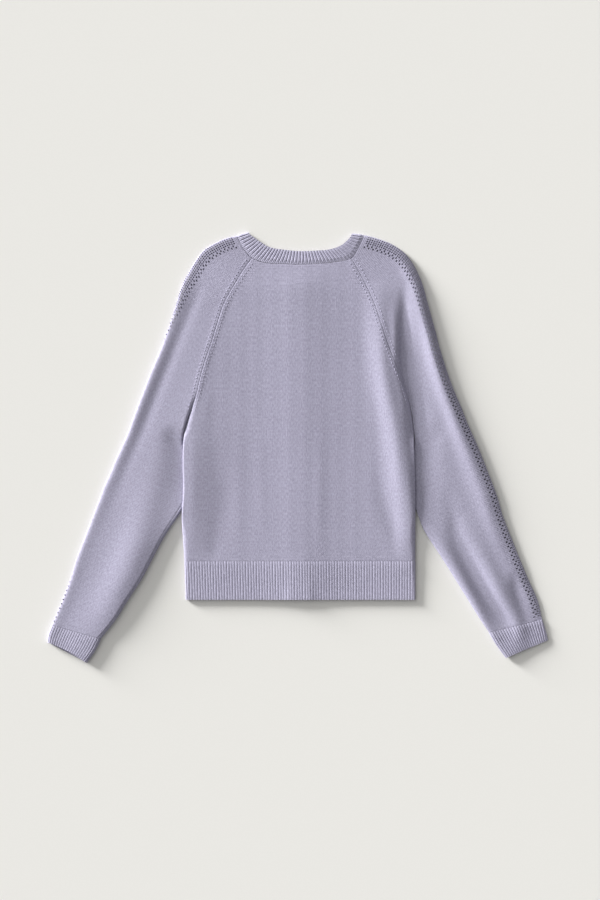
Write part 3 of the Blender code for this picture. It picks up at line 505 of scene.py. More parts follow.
def threadMaterial():
    material, tree, shader, place = newMaterial("plied linking yarn")
    ply = noise(tree, place, plied["grain"], 2.0)
    fillSockets(tree, shader, {
        "Base Color": mixColours(tree, ply, hexColour(plied["dark"]),
                                 hexColour(plied["light"])),
        "Normal": bump(tree, ply, *plied["bump"]), "Roughness": plied["rough"],
        "Specular IOR Level": plied["gloss"]})
    return material


# Polyester resin of the buttons, dyed to match and polished: cloudy, with a soft gloss.
cloudy = {"dark": "#A6A2BC", "light": "#C2BFD3", "grain": 220.0, "swirl": 1.2,
          "rough": (0.0, 1.0, 0.22, 0.34), "ior": 1.54}


def buttonMaterial():
    material, tree, shader, place = newMaterial("dyed polyester resin")
    cloud = noise(tree, place, cloudy["grain"], 4.0, Distortion=cloudy["swirl"])
    fillSockets(tree, shader, {
        "Base Color": mixColours(tree, cloud, hexColour(cloudy["dark"]),
                                 hexColour(cloudy["light"])),
        "Roughness": mapRange(tree, cloud, *cloudy["rough"]), "IOR": cloudy["ior"]})
    return material


# width of a wale, painted shade between its legs, and how much its loops rise and fall
jersey = knitMaterial("wool and cotton jersey", 3.4, 0.85, 0.3)
ribKnit = knitMaterial("wool and cotton rib", 4.2, 0.7, 0.12)
linking = threadMaterial()
resin = buttonMaterial()


print("building the node trees")


def newTree(name, sockets):
    tree = bpy.data.node_groups.new(name, "GeometryNodeTree")
    tree.interface.new_socket("Geometry", in_out="INPUT", socket_type="NodeSocketGeometry")
    for socketName, (kind, value) in sockets.items():
        socket = tree.interface.new_socket(socketName, in_out="INPUT",
                                           socket_type="NodeSocket" + kind)
        if value is not None:
            socket.default_value = value
    tree.interface.new_socket("Geometry", in_out="OUTPUT", socket_type="NodeSocketGeometry")
    return tree, addNode(tree, "NodeGroupInput").outputs


def finishTree(tree, geometry, material):
    realized = addNode(tree, "GeometryNodeRealizeInstances", {0: geometry})
    painted = addNode(tree, "GeometryNodeSetMaterial", {0: realized.outputs[0],
                                                        "Material": material})
    addNode(tree, "NodeGroupOutput", {0: painted.outputs[0]})
    return tree


def attribute(tree, name, kind):
    return addNode(tree, "GeometryNodeInputNamedAttribute", {"Name": name},
                   data_type=kind).outputs[0]


def scaled(tree, vector, factor):
    return addNode(tree, "ShaderNodeVectorMath", {0: vector, "Scale": factor},
                   operation="SCALE").outputs[0]


def knitWallTree():
    # raises the ribs, opens the eyelets and gives a single layer its thickness
    tree, given = newTree("knitted wall", {
        "Wall": ("Float", 0.0014), "Rib Rise": ("Float", 0.0007),
        "Rib Roundness": ("Float", 0.7), "Material": ("Material", None)})
    facing = attribute(tree, "facing", "FLOAT_VECTOR")
    ribs, stand = (attribute(tree, name, "FLOAT") for name in ("ribs", "stand"))
    # 0 at the top of a rib, 1 in the groove
    side = maths(tree, "PINGPONG", maths(tree, "ADD", ribs, 0.5), 0.5)
    square = maths(tree, "POWER", maths(tree, "MULTIPLY", side, 2.0), 2.0)
    profile = maths(tree, "POWER", maths(tree, "SUBTRACT", 1.0, square),
                    given["Rib Roundness"])
    rise = maths(tree, "MULTIPLY", maths(tree, "MULTIPLY", profile, stand),
                 given["Rib Rise"])
    outer = addNode(tree, "GeometryNodeSetPosition",
                    {"Geometry": given["Geometry"], "Offset": scaled(tree, facing, rise)})
    opened = addNode(tree, "GeometryNodeDeleteGeometry",
                     {"Geometry": outer.outputs[0],
                      "Selection": attribute(tree, "eyelet", "BOOLEAN")},
                     domain="FACE").outputs[0]
    depth = maths(tree, "MULTIPLY", maths(tree, "ADD", rise, given["Wall"]), -1.0)
    thick = addNode(tree, "GeometryNodeExtrudeMesh",
                    {"Mesh": opened, "Offset": scaled(tree, facing, depth),
                     "Offset Scale": 1.0, "Individual": False}, mode="FACES")
    turned = addNode(tree, "GeometryNodeFlipFaces", {0: thick.outputs[0]})
    both = addNode(tree, "GeometryNodeJoinGeometry", {0: opened})
    tree.links.new(turned.outputs[0], both.inputs[0])
    merged = addNode(tree, "GeometryNodeMergeByDistance",
                     {"Geometry": both.outputs[0], "Distance": 0.000002})
    return finishTree(tree, merged.outputs[0], given["Material"])


def stitchRowTree():
    # sets a stitch at each pitch along a line, standing on the cloth
    tree, given = newTree("row of stitches", {
        "Stitch": ("Object", None), "Stitch Pitch": ("Float", 0.0024),
        "Stitch Size": ("Vector", (1.0, 1.0, 1.0)), "Unevenness": ("Float", 0.12),
        "Seed": ("Int", 3), "Material": ("Material", None)})
    curve = addNode(tree, "GeometryNodeMeshToCurve", {0: given["Geometry"]})
    spaced = addNode(tree, "GeometryNodeResampleCurve",
                     {"Curve": curve.outputs[0], "Length": given["Stitch Pitch"]},
                     mode="LENGTH")
    upright = addNode(tree, "FunctionNodeAlignRotationToVector",
                      {"Vector": attribute(tree, "facing", "FLOAT_VECTOR")}, axis="Z")
    along = addNode(tree, "FunctionNodeAlignRotationToVector",
                    {"Rotation": upright.outputs[0],
                     "Vector": attribute(tree, "way", "FLOAT_VECTOR")},
                    axis="X", pivot_axis="Z")
    least = maths(tree, "SUBTRACT", 1.0, given["Unevenness"])
    uneven = addNode(tree, "FunctionNodeRandomValue",
                     {2: least, 3: 1.0, "Seed": given["Seed"]}, data_type="FLOAT")
    stitch = addNode(tree, "GeometryNodeObjectInfo", {0: given["Stitch"]})
    placed = addNode(tree, "GeometryNodeInstanceOnPoints",
                     {"Points": spaced.outputs[0], "Instance": stitch.outputs["Geometry"],
                      "Rotation": along.outputs[0],
                      "Scale": scaled(tree, given["Stitch Size"], uneven.outputs[1])})
    return finishTree(tree, placed.outputs[0], given["Material"])


knitWall = knitWallTree()
stitchRow = stitchRowTree()


def applyTree(item, tree, values):
    # runs a tree on an object and keeps the plain mesh
    modifier = item.modifiers.new(tree.name, "NODES")
    modifier.node_group = tree
    for socket in tree.interface.items_tree:
        if socket.item_type == "SOCKET" and socket.in_out == "INPUT" and socket.name in values:
            modifier[socket.identifier] = values[socket.name]
    bpy.context.view_layer.update()
    graph = bpy.context.evaluated_depsgraph_get()
    mesh = bpy.data.meshes.new_from_object(item.evaluated_get(graph),
                                           preserve_all_data_layers=True, depsgraph=graph)
    item.modifiers.clear()
    item.data = mesh
    for name in ("facing", "ribs", "stand", "eyelet", "way"):
        if name in mesh.attributes:
            mesh.attributes.remove(mesh.attributes[name])
    return item


def newObject(name, verts, edges, faces):
    mesh = bpy.data.meshes.new(name)
    mesh.from_pydata((np.asarray(verts) * mm).tolist(), edges, faces)
    item = bpy.data.objects.new(name, mesh)
    bpy.context.scene.collection.objects.link(item)
    return item


def setAttribute(mesh, name, kind, values):
    places = "FACE" if kind == "BOOLEAN" else "POINT"
    field = "vector" if kind == "FLOAT_VECTOR" else "value"
    mesh.attributes.new(name, kind, places).data.foreach_set(
        field, np.asarray(values, bool if kind == "BOOLEAN" else np.float32).reshape(-1))


def finishPiece(item, sharp):
    item.data.shade_smooth()
    item.data.set_sharp_from_angle(angle=math.radians(sharp))
    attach(item, "root")


def alongLines(lines, columns):
    return np.array([line.distances(columns) for line in lines])


def clothGrid(lines, distances, side):
    # places at those distances along each line, and the ways that the cloth faces there
    places = np.array([line.atDistance(d) for line, d in zip(lines, distances)])
    facing = np.cross(np.gradient(places, axis=0), np.gradient(places, axis=1)) * side
    return places, facing / np.linalg.norm(facing, axis=2)[..., None]


def makeCloth(name, node, grid, material, uv, offset=None, ribs=None, stand=None,
              rise=0.0, eyelets=None, sharp=50):
    # the grid goes row by row; offset moves both faces along the way the cloth faces
    places, facing = grid
    rows, columns = places.shape[:2]
    if offset is not None:
        places = places + facing * offset[..., None]
    area = (np.linalg.norm(np.cross(places[1:, :-1] - places[:-1, :-1],
                                    places[:-1, 1:] - places[:-1, :-1]), axis=2)).sum()
    index = np.arange(rows * columns).reshape(rows, columns)
    a, b = index[:-1, :-1].ravel(), index[:-1, 1:].ravel()
    c, d = index[1:, 1:].ravel(), index[1:, :-1].ravel()
    # which way round the faces go follows from the way the cloth faces
    middle = (rows // 2, columns // 2)
    cross = np.cross(places[middle[0], middle[1] + 1] - places[middle],
                     places[middle[0] + 1, middle[1]] - places[middle])
    order = (a, b, c, d) if cross @ facing[middle] > 0 else (a, d, c, b)
    faces = np.stack(order, axis=1)
    item = newObject(name, places.reshape(-1, 3), [], faces.tolist())
    setAttribute(item.data, "facing", "FLOAT_VECTOR", facing)
    for label, kind, values in (("ribs", "FLOAT", ribs), ("stand", "FLOAT", stand),
                                ("eyelet", "BOOLEAN", eyelets)):
        if values is not None:
            setAttribute(item.data, label, kind, values)
    layer = item.data.uv_layers.new(name="knit")
    layer.data.foreach_set("uv", uv.reshape(-1, 2)[faces.reshape(-1)].reshape(-1))
    applyTree(item, knitWall, {"Wall": cloth["wall"] * mm, "Rib Rise": rise * mm,
                               "Material": material})
    finishPiece(item, sharp)
    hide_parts(node)
    item["area"] = float(area * mm * mm)


def makeRibs(name, node, grid, ribs, down, settings, rise, offset=None):
    # ribs grow out of the seam on the upper layer only, and thin out at the edge
    uv = np.stack([ribs * settings["wale"], down], axis=-1)
    edge = 1 - settings["thinned"] * ease(down, *settings["edgeEase"])
    facingUp = ease(grid[1][..., 2], *cloth["ribsFacing"])
    stand = facingUp * ease(down, *settings["seamEase"]) * edge
    makeCloth(name, node, grid, ribKnit, uv, offset, ribs, stand, rise, sharp=70)


def seamDip(fromEdge, depth, width):
    return -depth * np.exp(-(fromEdge / width)**2)


print("knitting the back")

# rows and columns are close together near a seam or an edge
nearSeam = np.array([0, 0.7, 1.4, 2.3, 3.6, 5.2, 7.2])
edgeShares = np.array([0, 0.07, 0.14, 0.22, 0.32, 0.45, 0.6, 0.8])


def backLine(station):
    (xl, y, _), (xr, _, _) = (bodyEdge(station, side) for side in sideColumn)
    inset = cloth["seamGap"] if station < underarm else 0.0
    start, end = np.array([xl + inset, y]), np.array([xr - inset, y])
    amount = rounding(station)
    sides = [sideHeights(station, side) for side in sideColumn]
    rounds = [roundWidth(top - middle, amount) for _, top, middle in sides]
    t, rise = across(start, end, rounds, amount)
    low = np.where(t < 0.5, sides[0][2], sides[1][2]) + cloth["faceGap"]
    plan = start + (end - start) * t[:, None]
    plan += bend(neck["seamBack"], 2, 8, t) * (1 - ease(station, 0, neck["bendEase"]))
    x, y = plan.T
    z = low + (higherOf(topHeight(x, y), lyingOn(x, y, station)) - low) * rise
    return ClothLine(np.column_stack([plan, z]), [0, len(roundSteps), -len(roundSteps), -1])


def stationsAt(heights):
    # the stations where the body is at those heights
    dense = np.linspace(firstStation, hemStation + 1, 1500)
    y = np.array([bodyEdge(s, "left")[1] for s in dense])
    return np.interp(-np.asarray(heights), -y, dense)


def makeBack():
    top, bottom = bodyEdge(firstStation, "left")[1], body["hemSeamY"]
    even = top - body["evenFrom"]
    heights = np.concatenate([top - nearSeam[:-1],
                              np.linspace(even, bottom + body["aboveHem"],
                                          int((even - bottom) / body["rowPitch"]))])
    stations = stationsAt(heights)
    columns = np.concatenate([edgeShares, 1 + np.linspace(0, 1, body["columns"] + 1),
                              3 - edgeShares[::-1]])
    lines = [backLine(s) for s in stations]
    distances = alongLines(lines, columns)
    grid = clothGrid(lines, distances, 1)
    lengths = np.array([line.length for line in lines])[:, None]
    fromEdge = np.minimum(distances, lengths - distances)
    onRaglan = ease(stations, underarm + cloth["dipFades"], underarm)[:, None]
    rise, place, width = cloth["welt"]
    offset = onRaglan * (seamDip(fromEdge, *cloth["seamDip"])
                         + rise * np.exp(-((fromEdge - place) / width)**2))
    offset = offset + seamDip((top - heights)[:, None], *cloth["neckDip"])
    makeCloth("backPanel", "back", grid, jersey, grid[0][..., :2], offset)


hem = {"ribs": 86, "wale": 4.2, "rise": 0.5, "steps": 8, "rows": 15, "high": 62,
       "frontRows": 8, "seamEase": (-2, 4), "edgeEase": (58, 62), "thinned": 0.35}


def hemStations(rows):
    return np.linspace(hemStation + afterSeam, hemStation + 1, rows)


def makeHemBack():
    lines = [backLine(s) for s in hemStations(hem["rows"])]
    columns = np.linspace(0, 1, hem["ribs"] * hem["steps"] + 1)
    grid = clothGrid(lines, [columns * line.length for line in lines], 1)
    ribs, down = np.meshgrid(columns * hem["ribs"], np.linspace(0, hem["high"], hem["rows"]))
    makeRibs("hemRibBack", "hem_rib_back", grid, ribs, down, hem, hem["rise"])


makeBack()
makeHemBack()


print("knitting the fronts")

front = {"firstRows": (301.7, 299.7), "evenFrom": 296, "rows": 88, "columns": 40}


def frontLine(station, side):
    k = sideColumn[side]
    sign = 1 if side == "left" else -1
    x, y = through([(row[k], row[0]) for row in frontRaglan + sideSeam], station)
    drop = neck["frontDrop"] * (1 - ease(station, 0, underarm))
    inset = cloth["seamGap"] if station < underarm else 0.0
    start = np.array([x + sign * inset, y])
    end = np.array([body["centreX"] - sign * (bands["half"] + cloth["seamGap"]), y - drop])
    amount = rounding(station)
    under, _, middle = sideHeights(station, side)
    high = middle - cloth["faceGap"]
    t, rise = across(start, end, (roundWidth(high - under, amount), 0.0), amount)
    plan = start + (end - start) * t[:, None]
    seam = neck["seam" + side.capitalize()]
    plan += bend(seam, 2, 0, t) * (1 - ease(station, 0, neck["bendEase"]))
    under = tuckLift(plan[:, 0], station) + placketLift(plan[:, 0])
    z = high + (under - high) * rise
    return ClothLine(np.column_stack([plan, z]), [0, len(roundSteps), -1])


def makeFronts():
    # they lie on the floor, so their ribs are plain and flat
    heights = np.concatenate([front["firstRows"], np.linspace(
        front["evenFrom"], body["hemSeamY"] + body["aboveHem"], front["rows"])])
    columns = np.concatenate([edgeShares, 1 + np.linspace(0, 1, front["columns"] + 1)])
    for side, sign in (("left", -1), ("right", 1)):
        lines = [frontLine(s, side) for s in stationsAt(heights)]
        grid = clothGrid(lines, alongLines(lines, columns), sign)
        makeCloth("frontPanel" + side.capitalize(), "front_" + side, grid, jersey,
                  grid[0][..., :2])
        lines = [frontLine(s, side) for s in hemStations(hem["frontRows"])]
        distances = alongLines(lines, columns)
        down = np.linspace(0, hem["high"], hem["frontRows"])[:, None]
        uv = np.stack([distances, down + 0 * distances], axis=-1)
        makeCloth("hemRibFront" + side.capitalize(), "hem_rib_front_" + side,
                  clothGrid(lines, distances, sign), ribKnit, uv)


makeFronts()


print("knitting the sleeves")

# section of a sleeve: station, width of the outer rounding and how much its roll stands
# up, width and height of the inner rounding, how far it is pressed under the body, and
# from how far off its inner edge
tubeRows = {
    "left": [(0.0, 3.2, 0.0, 9.0, 2.0, 0.0, 64), (2.0, 5.0, 0.2, 9.0, 2.0, 0.0, 64),
             (4.0, 5.0, 0.3, 9.0, 2.0, 0.0, 64), (6.0, 5.0, 0.8, 9.0, 2.0, 0.0, 64),
             (8.5, 5.0, 1.4, 9.0, 2.0, 0.0, 24), (11.0, 5.0, 1.6, 3.0, 2.4, 0.0, 30),
             (12.3, 5.0, 1.5, 3.0, 2.4, 1.0, 48), (13.6, 5.0, 1.3, 3.0, 2.4, 1.0, 66),
             (15.4, 5.0, 1.0, 3.0, 2.4, 1.0, 80), (17.2, 5.0, 0.8, 3.8, 2.6, 0.5, 80),
             (19.5, 5.0, 0.6, 5.0, 3.2, 0.0, 80), (24.0, 5.0, 0.6, 6.0, 3.4, 0.0, 80)],
    "right": [(0.0, 3.2, 0.0, 9.0, 2.0, 0.0, 64), (2.0, 6.0, 1.4, 9.0, 2.0, 0.0, 64),
              (4.0, 13.0, 2.6, 9.0, 2.0, 0.0, 64), (8.5, 15.0, 3.0, 9.0, 2.0, 0.0, 64),
              (11.0, 16.0, 3.0, 3.0, 2.4, 0.0, 64), (12.3, 16.0, 3.0, 2.0, 1.85, 1.0, 64),
              (15.4, 16.0, 2.8, 2.0, 1.85, 1.0, 64), (17.2, 17.0, 2.2, 3.4, 2.5, 0.5, 64),
              (19.5, 20.0, 1.2, 5.0, 3.2, 0.0, 64), (22.0, 23.0, 0.3, 5.6, 3.4, 0.0, 64),
              (24.0, 23.0, 0.0, 6.0, 3.4, 0.0, 64)],
}
tube = {
    "rollWidth": 11.0,
    "foldAt": 0.49,         # where the outer fold is, in the height of the sleeve
    "pressedAt": 12.0,      # fully pressed this near its inner edge
    "seamOver": 2,          # stations past the underarm over which its seam turns away
    "neckOver": 3,          # stations over which the neck's curve gives way
    "slopeEase": (2, 6),
    "spare": 60,            # places past an end, more than the seam turns
}


def tubeShape(side, station):
    rows = np.array(tubeRows[side])
    shape = [float(np.interp(station, rows[:, 0], rows[:, k])) for k in range(1, 7)]
    return shape + [sleeves[side]["pressedTo"]]


def tubeLine(outer, upperEnd, lowerEnd, shape, amount, turn, slope, bends=None):
    # section of a flattened tube: upper layer, outer fold, lower layer
    outerRound, outerRoll, innerRound, innerZ, press, pressedFrom, pressedTo = shape
    count = len(roundSteps)
    run, rise = roundedEdge(amount, roundSteps)
    upper = np.linalg.norm(upperEnd - outer) - cloth["seamGap"] * amount
    lower = np.linalg.norm(lowerEnd - outer) - cloth["seamGap"] * amount
    inside = upper - innerRound
    upperWay = np.concatenate([upper - run * innerRound,
                               inside + (outerRound - inside) * flatSteps,
                               outerRound * (1 - np.sin(quarter))])
    share = upperWay / np.linalg.norm(upperEnd - outer)
    planUpper = outer + (upperEnd - outer) * share[:, None]
    if bends:
        planUpper += bends[0](share)
    top = topHeight(planUpper[:, 0], planUpper[:, 1])
    top += outerRoll * np.exp(-(np.maximum(upperWay - outerRound, 0) / tube["rollWidth"])**2)
    outerZ = tube["foldAt"] * top[-count]
    near = ease(upper - upperWay, pressedFrom, tube["pressedAt"])
    top = top + (pressedTo - top) * press * near
    zUpper = top.copy()
    zUpper[:count] = innerZ + (top[:count] - innerZ) * rise
    fall = np.cos(quarter) * (1 - slope) + np.cos(quarter)**2 * slope
    zUpper[-count:] = outerZ + (top[-count:] - outerZ) * fall
    lowerRound = min(outerRound, cloth["edgeRound"])
    lowerWay = np.concatenate([lowerRound * (1 - np.sin(quarter[::-1][1:])),
                               lowerRound + (lower - innerRound - lowerRound) * flatSteps,
                               (lower - run * innerRound)[::-1]])
    share = lowerWay / np.linalg.norm(lowerEnd - outer)
    planLower = outer + (lowerEnd - outer) * share[:, None]
    if bends:
        planLower += bends[1](share)
    zLower = np.zeros(len(lowerWay))
    zLower[:count - 1] = outerZ * (1 - np.cos(quarter[::-1][1:]))
    zLower[-count:] = (innerZ * (1 - rise))[::-1]
    places = np.concatenate([np.column_stack([planUpper, zUpper]),
                             np.column_stack([planLower, zLower])])
    # the underarm seam is turned off the edge, so the line goes on past one end
    before = places[-tube["spare"]:-1] if turn < 0 else places[:0]
    after = places[1:tube["spare"]] if turn > 0 else places[:0]
    line = ClothLine(np.concatenate([before, places, after]))
    line.fold = line.along[len(before) + len(upperWay) - 1]
    first, last = line.along[len(before)], line.along[len(before) + len(places) - 1]
    line.marks = [first + turn + cloth["seamGap"], last + turn - cloth["seamGap"]]
    return line


def sleeveLine(side, station):
    sleeve, k = sleeves[side], sideColumn[side]
    upper = [(row[k], row[0]) for row in raglan] + sleeve["inner"]
    lower = [(row[k], row[0]) for row in frontRaglan] + sleeve["inner"]
    turn = sleeve["seamTurn"] * float(ease(station, underarm, underarm + tube["seamOver"]))
    near = 1 - float(ease(station, 0, tube["neckOver"]))
    first, last = (0, 2) if side == "left" else (10, 8)
    seam = neck["seam" + side.capitalize()]
    bends = None
    if near:
        bends = [lambda t: bend(neck["seamBack"], first, last, t) * near,
                 lambda t: bend(seam, 4, 2, t) * near]
    slope = sleeve["outerSlope"] * float(ease(station, *tube["slopeEase"]))
    return tubeLine(through(sleeve["outer"], station), through(upper, station),
                    through(lower, station), tubeShape(side, station), rounding(station),
                    turn, slope, bends)


lace = {
    "cell": 1.1,          # width of one stitch of the chart
    "courses": (2.2, 1.6, 2.2, 1.6),
    # from the middle of the band to its border: ladders, then two rows of eyelets
    "chart": [".oo.oo.oo.oo....ooo.",
              "....................",
              ".oo.oo.oo.oo.ooo....",
              "...................."],
    "plainUpper": 30, "plainLower": 21,     # columns of plain knit beside it
    "plainRows": (3, 2),                    # at the neck and at the cuff
    "settle": 41,                           # rows over which the band's drift is evened
}


def sleeveStations(side):
    # even courses along the outer fold
    dense = np.linspace(firstStation, cuffStation - afterSeam, 1200)
    along = lengthAlong(through(sleeves[side]["outer"], dense))
    repeats = round(along[-1] / sum(lace["courses"]))
    distance = np.concatenate([[0], np.cumsum(np.tile(lace["courses"], repeats))])
    distance *= along[-1] / distance[-1]
    return np.interp(distance, along, dense), distance


def plainColumns(width, count):
    # close together at the seam, then even up to the lace
    fine = nearSeam / width
    return np.concatenate([fine, np.linspace(fine[-1], 1, count + 1)[1:]])[:-1] * width


def makeSleeve(side):
    sleeve = sleeves[side]
    stations, courses = sleeveStations(side)
    courses = courses[:, None]
    half = len(lace["chart"][0])
    reach = half * lace["cell"]
    shift = np.interp(stations, *np.array(sleeve["laceShift"], float).T)
    shift = np.convolve(np.pad(shift, lace["settle"] // 2, mode="edge"),
                        np.ones(lace["settle"]) / lace["settle"], mode="valid")
    lines, along, distances = [], [], []
    for station, move in zip(stations, shift):
        line = sleeveLine(side, station)
        first, last = line.marks
        middle = line.fold - move
        here = np.concatenate([
            first + plainColumns(middle - reach - first, lace["plainUpper"]),
            middle + np.linspace(-reach, reach, 2 * half + 1),
            last - plainColumns(last - middle - reach, lace["plainLower"])[::-1]])
        lines.append(line)
        along.append(here)
        distances.append((np.minimum(here - first, last - here), here - middle))
    fromEdge, fromMiddle = np.moveaxis(np.array(distances), 1, 0)
    offset = seamDip(fromEdge, *cloth["sleeveDip"]) + seamDip(courses, *cloth["neckDip"])
    chart = np.array([[letter == "o" for letter in row] for row in lace["chart"]])
    chart = np.concatenate([chart[:, ::-1], chart], axis=1)
    eyelets = np.zeros((len(lines) - 1, len(along[0]) - 1), bool)
    start = lace["plainUpper"] + len(nearSeam) - 1
    for row in range(lace["plainRows"][0], len(eyelets) - lace["plainRows"][1]):
        eyelets[row, start:start + 2 * half] = chart[row % len(chart)]
    uv = np.stack([fromMiddle, courses + 0 * fromMiddle], axis=-1)
    makeCloth("sleeve" + side.capitalize(), "sleeve_" + side,
              clothGrid(lines, along, sleeve["sign"]), jersey, uv, offset,
              eyelets=eyelets, sharp=60)


for sleeveSide in sleeves:
    makeSleeve(sleeveSide)


print("knitting the cuffs")

cuff = {"ribs": 42, "wale": 4.2, "steps": 8, "rows": 10, "high": 35,
        "seamEase": (-2, 3), "edgeEase": (32, 35), "thinned": 0.35, "firstRow": 0.008,
        # at the mouth: share off the outer rounding, width and height off the inner one
        "outerLess": 0.2, "innerLess": 1.0, "lower": 0.4, "drawnEase": (0.4, 1.2)}


def cuffLine(side, t):
    sleeve = sleeves[side]
    outer, inner = through(sleeve["cuffOuter"], 2 * t), through(sleeve["cuffInner"], 2 * t)
    _, _, roll, innerRound, innerZ, press, pressedFrom = tubeRows[side][-1]
    shape = (sleeve["cuffRound"] * (1 - cuff["outerLess"] * t), roll,
             innerRound - cuff["innerLess"] * t, innerZ - cuff["lower"] * t, press,
             pressedFrom, sleeve["pressedTo"])
    # the upper layer draws back a little at the mouth
    way = outer - through(sleeve["cuffOuter"], 0)
    drawn = way / max(np.hypot(*way), 1) * sleeve["mouth"] * float(
        ease(t, *cuff["drawnEase"]))
    bends = [lambda share: -drawn * np.sin(math.pi * np.clip(share, 0, 1))[:, None],
             lambda share: np.zeros((len(share), 2))]
    return tubeLine(outer, inner, inner, shape, 1.0, sleeve["seamTurn"], sleeve["outerSlope"],
                    bends)


def makeCuff(side):
    lines = [cuffLine(side, t) for t in np.linspace(cuff["firstRow"], 1, cuff["rows"])]
    columns = np.linspace(0, 1, cuff["ribs"] * cuff["steps"] + 1)
    grid = clothGrid(lines, alongLines(lines, columns), sleeves[side]["sign"])
    ribs, down = np.meshgrid(columns * cuff["ribs"],
                             np.linspace(0, cuff["high"], cuff["rows"]))
    makeRibs("cuff" + side.capitalize(), "cuff_" + side, grid, ribs, down, cuff,
             sleeves[side]["cuffRise"])


for sleeveSide in sleeves:
    makeCuff(sleeveSide)


print("knitting the neckband")

collar = {"pitch": 5.2, "wale": 4.2, "rise": 0.8, "steps": 8, "high": 19,
          "seamEase": (2.2, 4.6), "edgeEase": (17, 19), "thinned": 0.4,
          "strip": (0.2, 2.2, 0.8),         # flat strip by the seam: height, place, width
          "dip": (0.4, 0.1, 0.8),           # place, depth and width of the seam
          "rows": (0.02, 0.05, 0.08, 0.115, 0.15, 0.19, 0.24, 0.35, 0.5, 0.65, 0.8, 0.92,
                   1.0)}


def neckLine(t):
    # from the left button band up the front, over the shoulder fold, along the back of
    # the neck and down to the right band; t goes from the seam to the free edge
    def plan(seam, edge, reverse):
        steps = np.linspace(0, len(seam) - 1, 40 * (len(seam) - 1) + 1)
        path = through(seam, steps) * (1 - t) + through(edge, steps) * t
        path = path[::-1] if reverse else path
        return ClothLine(np.column_stack([path, np.zeros(len(path))]))

    start = neck["round"] * (1 - np.sin(quarter))

    def lower(line):
        far = np.concatenate([start[::-1], np.linspace(neck["round"], line.length, 80)[1:]])
        places = line.atDistance(far)
        places[:, 2] = placketLift(places[:, 0])
        places[:len(quarter), 2] = neck["foldZ"] * (1 - np.cos(quarter[::-1]))
        return places

    back = plan(neck["seamBack"], neck["edgeBack"], False)
    far = np.concatenate([start[::-1],
                          np.linspace(neck["round"], back.length - neck["round"], 240)[1:-1],
                          back.length - start])
    upper = back.atDistance(far)
    upper[:, 2] = topHeight(upper[:, 0], upper[:, 1])
    count = len(quarter)
    for part, turn in ((slice(0, count), quarter[::-1]), (slice(-count, None), quarter)):
        upper[part, 2] = neck["foldZ"] + (upper[part, 2] - neck["foldZ"]) * np.cos(turn)
    lowLeft = lower(plan(neck["seamLeft"], neck["edgeLeft"], True))[::-1]
    lowRight = lower(plan(neck["seamRight"], neck["edgeRight"], True))
    places = np.concatenate([lowLeft, upper[1:], lowRight[1:]])
    first, last = len(lowLeft) - 1, len(lowLeft) + len(upper) - 2
    line = ClothLine(places, [0, first, last, -1])
    line.marks[0] += cloth["seamGap"]
    line.marks[3] -= cloth["seamGap"]
    return line


def makeNeckband():
    marks = neckLine(0.5).marks
    counts = [round((b - a) / collar["pitch"]) for a, b in zip(marks[:-1], marks[1:])]
    columns = [0.0]
    for stretch, count in enumerate(counts):
        columns += list(stretch + np.linspace(0, 1, count * collar["steps"] + 1)[1:])
    ribs = np.interp(columns, [0, 1, 2, 3], np.concatenate([[0], np.cumsum(counts)]))
    lines = [neckLine(t) for t in collar["rows"]]
    grid = clothGrid(lines, alongLines(lines, columns), -1)
    ribs, down = np.meshgrid(ribs, np.array(collar["rows"]) * collar["high"])
    seam, depth, width = collar["dip"]
    rise, place, spread = collar["strip"]
    offset = seamDip(down - seam, depth, width) + rise * np.exp(-((down - place) / spread)**2)
    makeRibs("neckRib", "neckband", grid, ribs, down, collar, collar["rise"], offset)


makeNeckband()


print("setting the bands and buttons")

button = {
    "sides": 28, "holeRing": 1.7, "holeRadius": 0.75, "holeSides": 8,
    # radius and depth, from the dished middle round the rim to the back
    "profile": [(3.2, 0.75), (3.8, 0.55), (4.5, 0.05), (5.1, 0.0), (5.7, 0.25), (6.0, 0.8),
                (5.95, 1.4), (5.5, 2.0), (4.6, 2.2), (3.2, 2.2)],
}


def makeBands():
    for side, height in (("left", bands["buttonBandZ"]), ("right", bands["holeBandZ"])):
        x, y = np.meshgrid(body["centreX"] + np.linspace(-bands["half"], bands["half"], 21),
                           np.linspace(bands["topY"], body["hemY"], 200))
        places = np.stack([x, y, np.full(x.shape, height)], axis=-1)
        facing = np.zeros(places.shape)
        facing[..., 2] = -1
        makeCloth("band" + side.capitalize(), "button_band_" + side, (places, facing), ribKnit,
                  np.stack([x - body["centreX"], y], axis=-1))


makeBands()


def ringOf(radius, z, angles, centre=(0, 0)):
    return [(centre[0] + radius * math.cos(a), centre[1] + radius * math.sin(a), z)
            for a in angles]


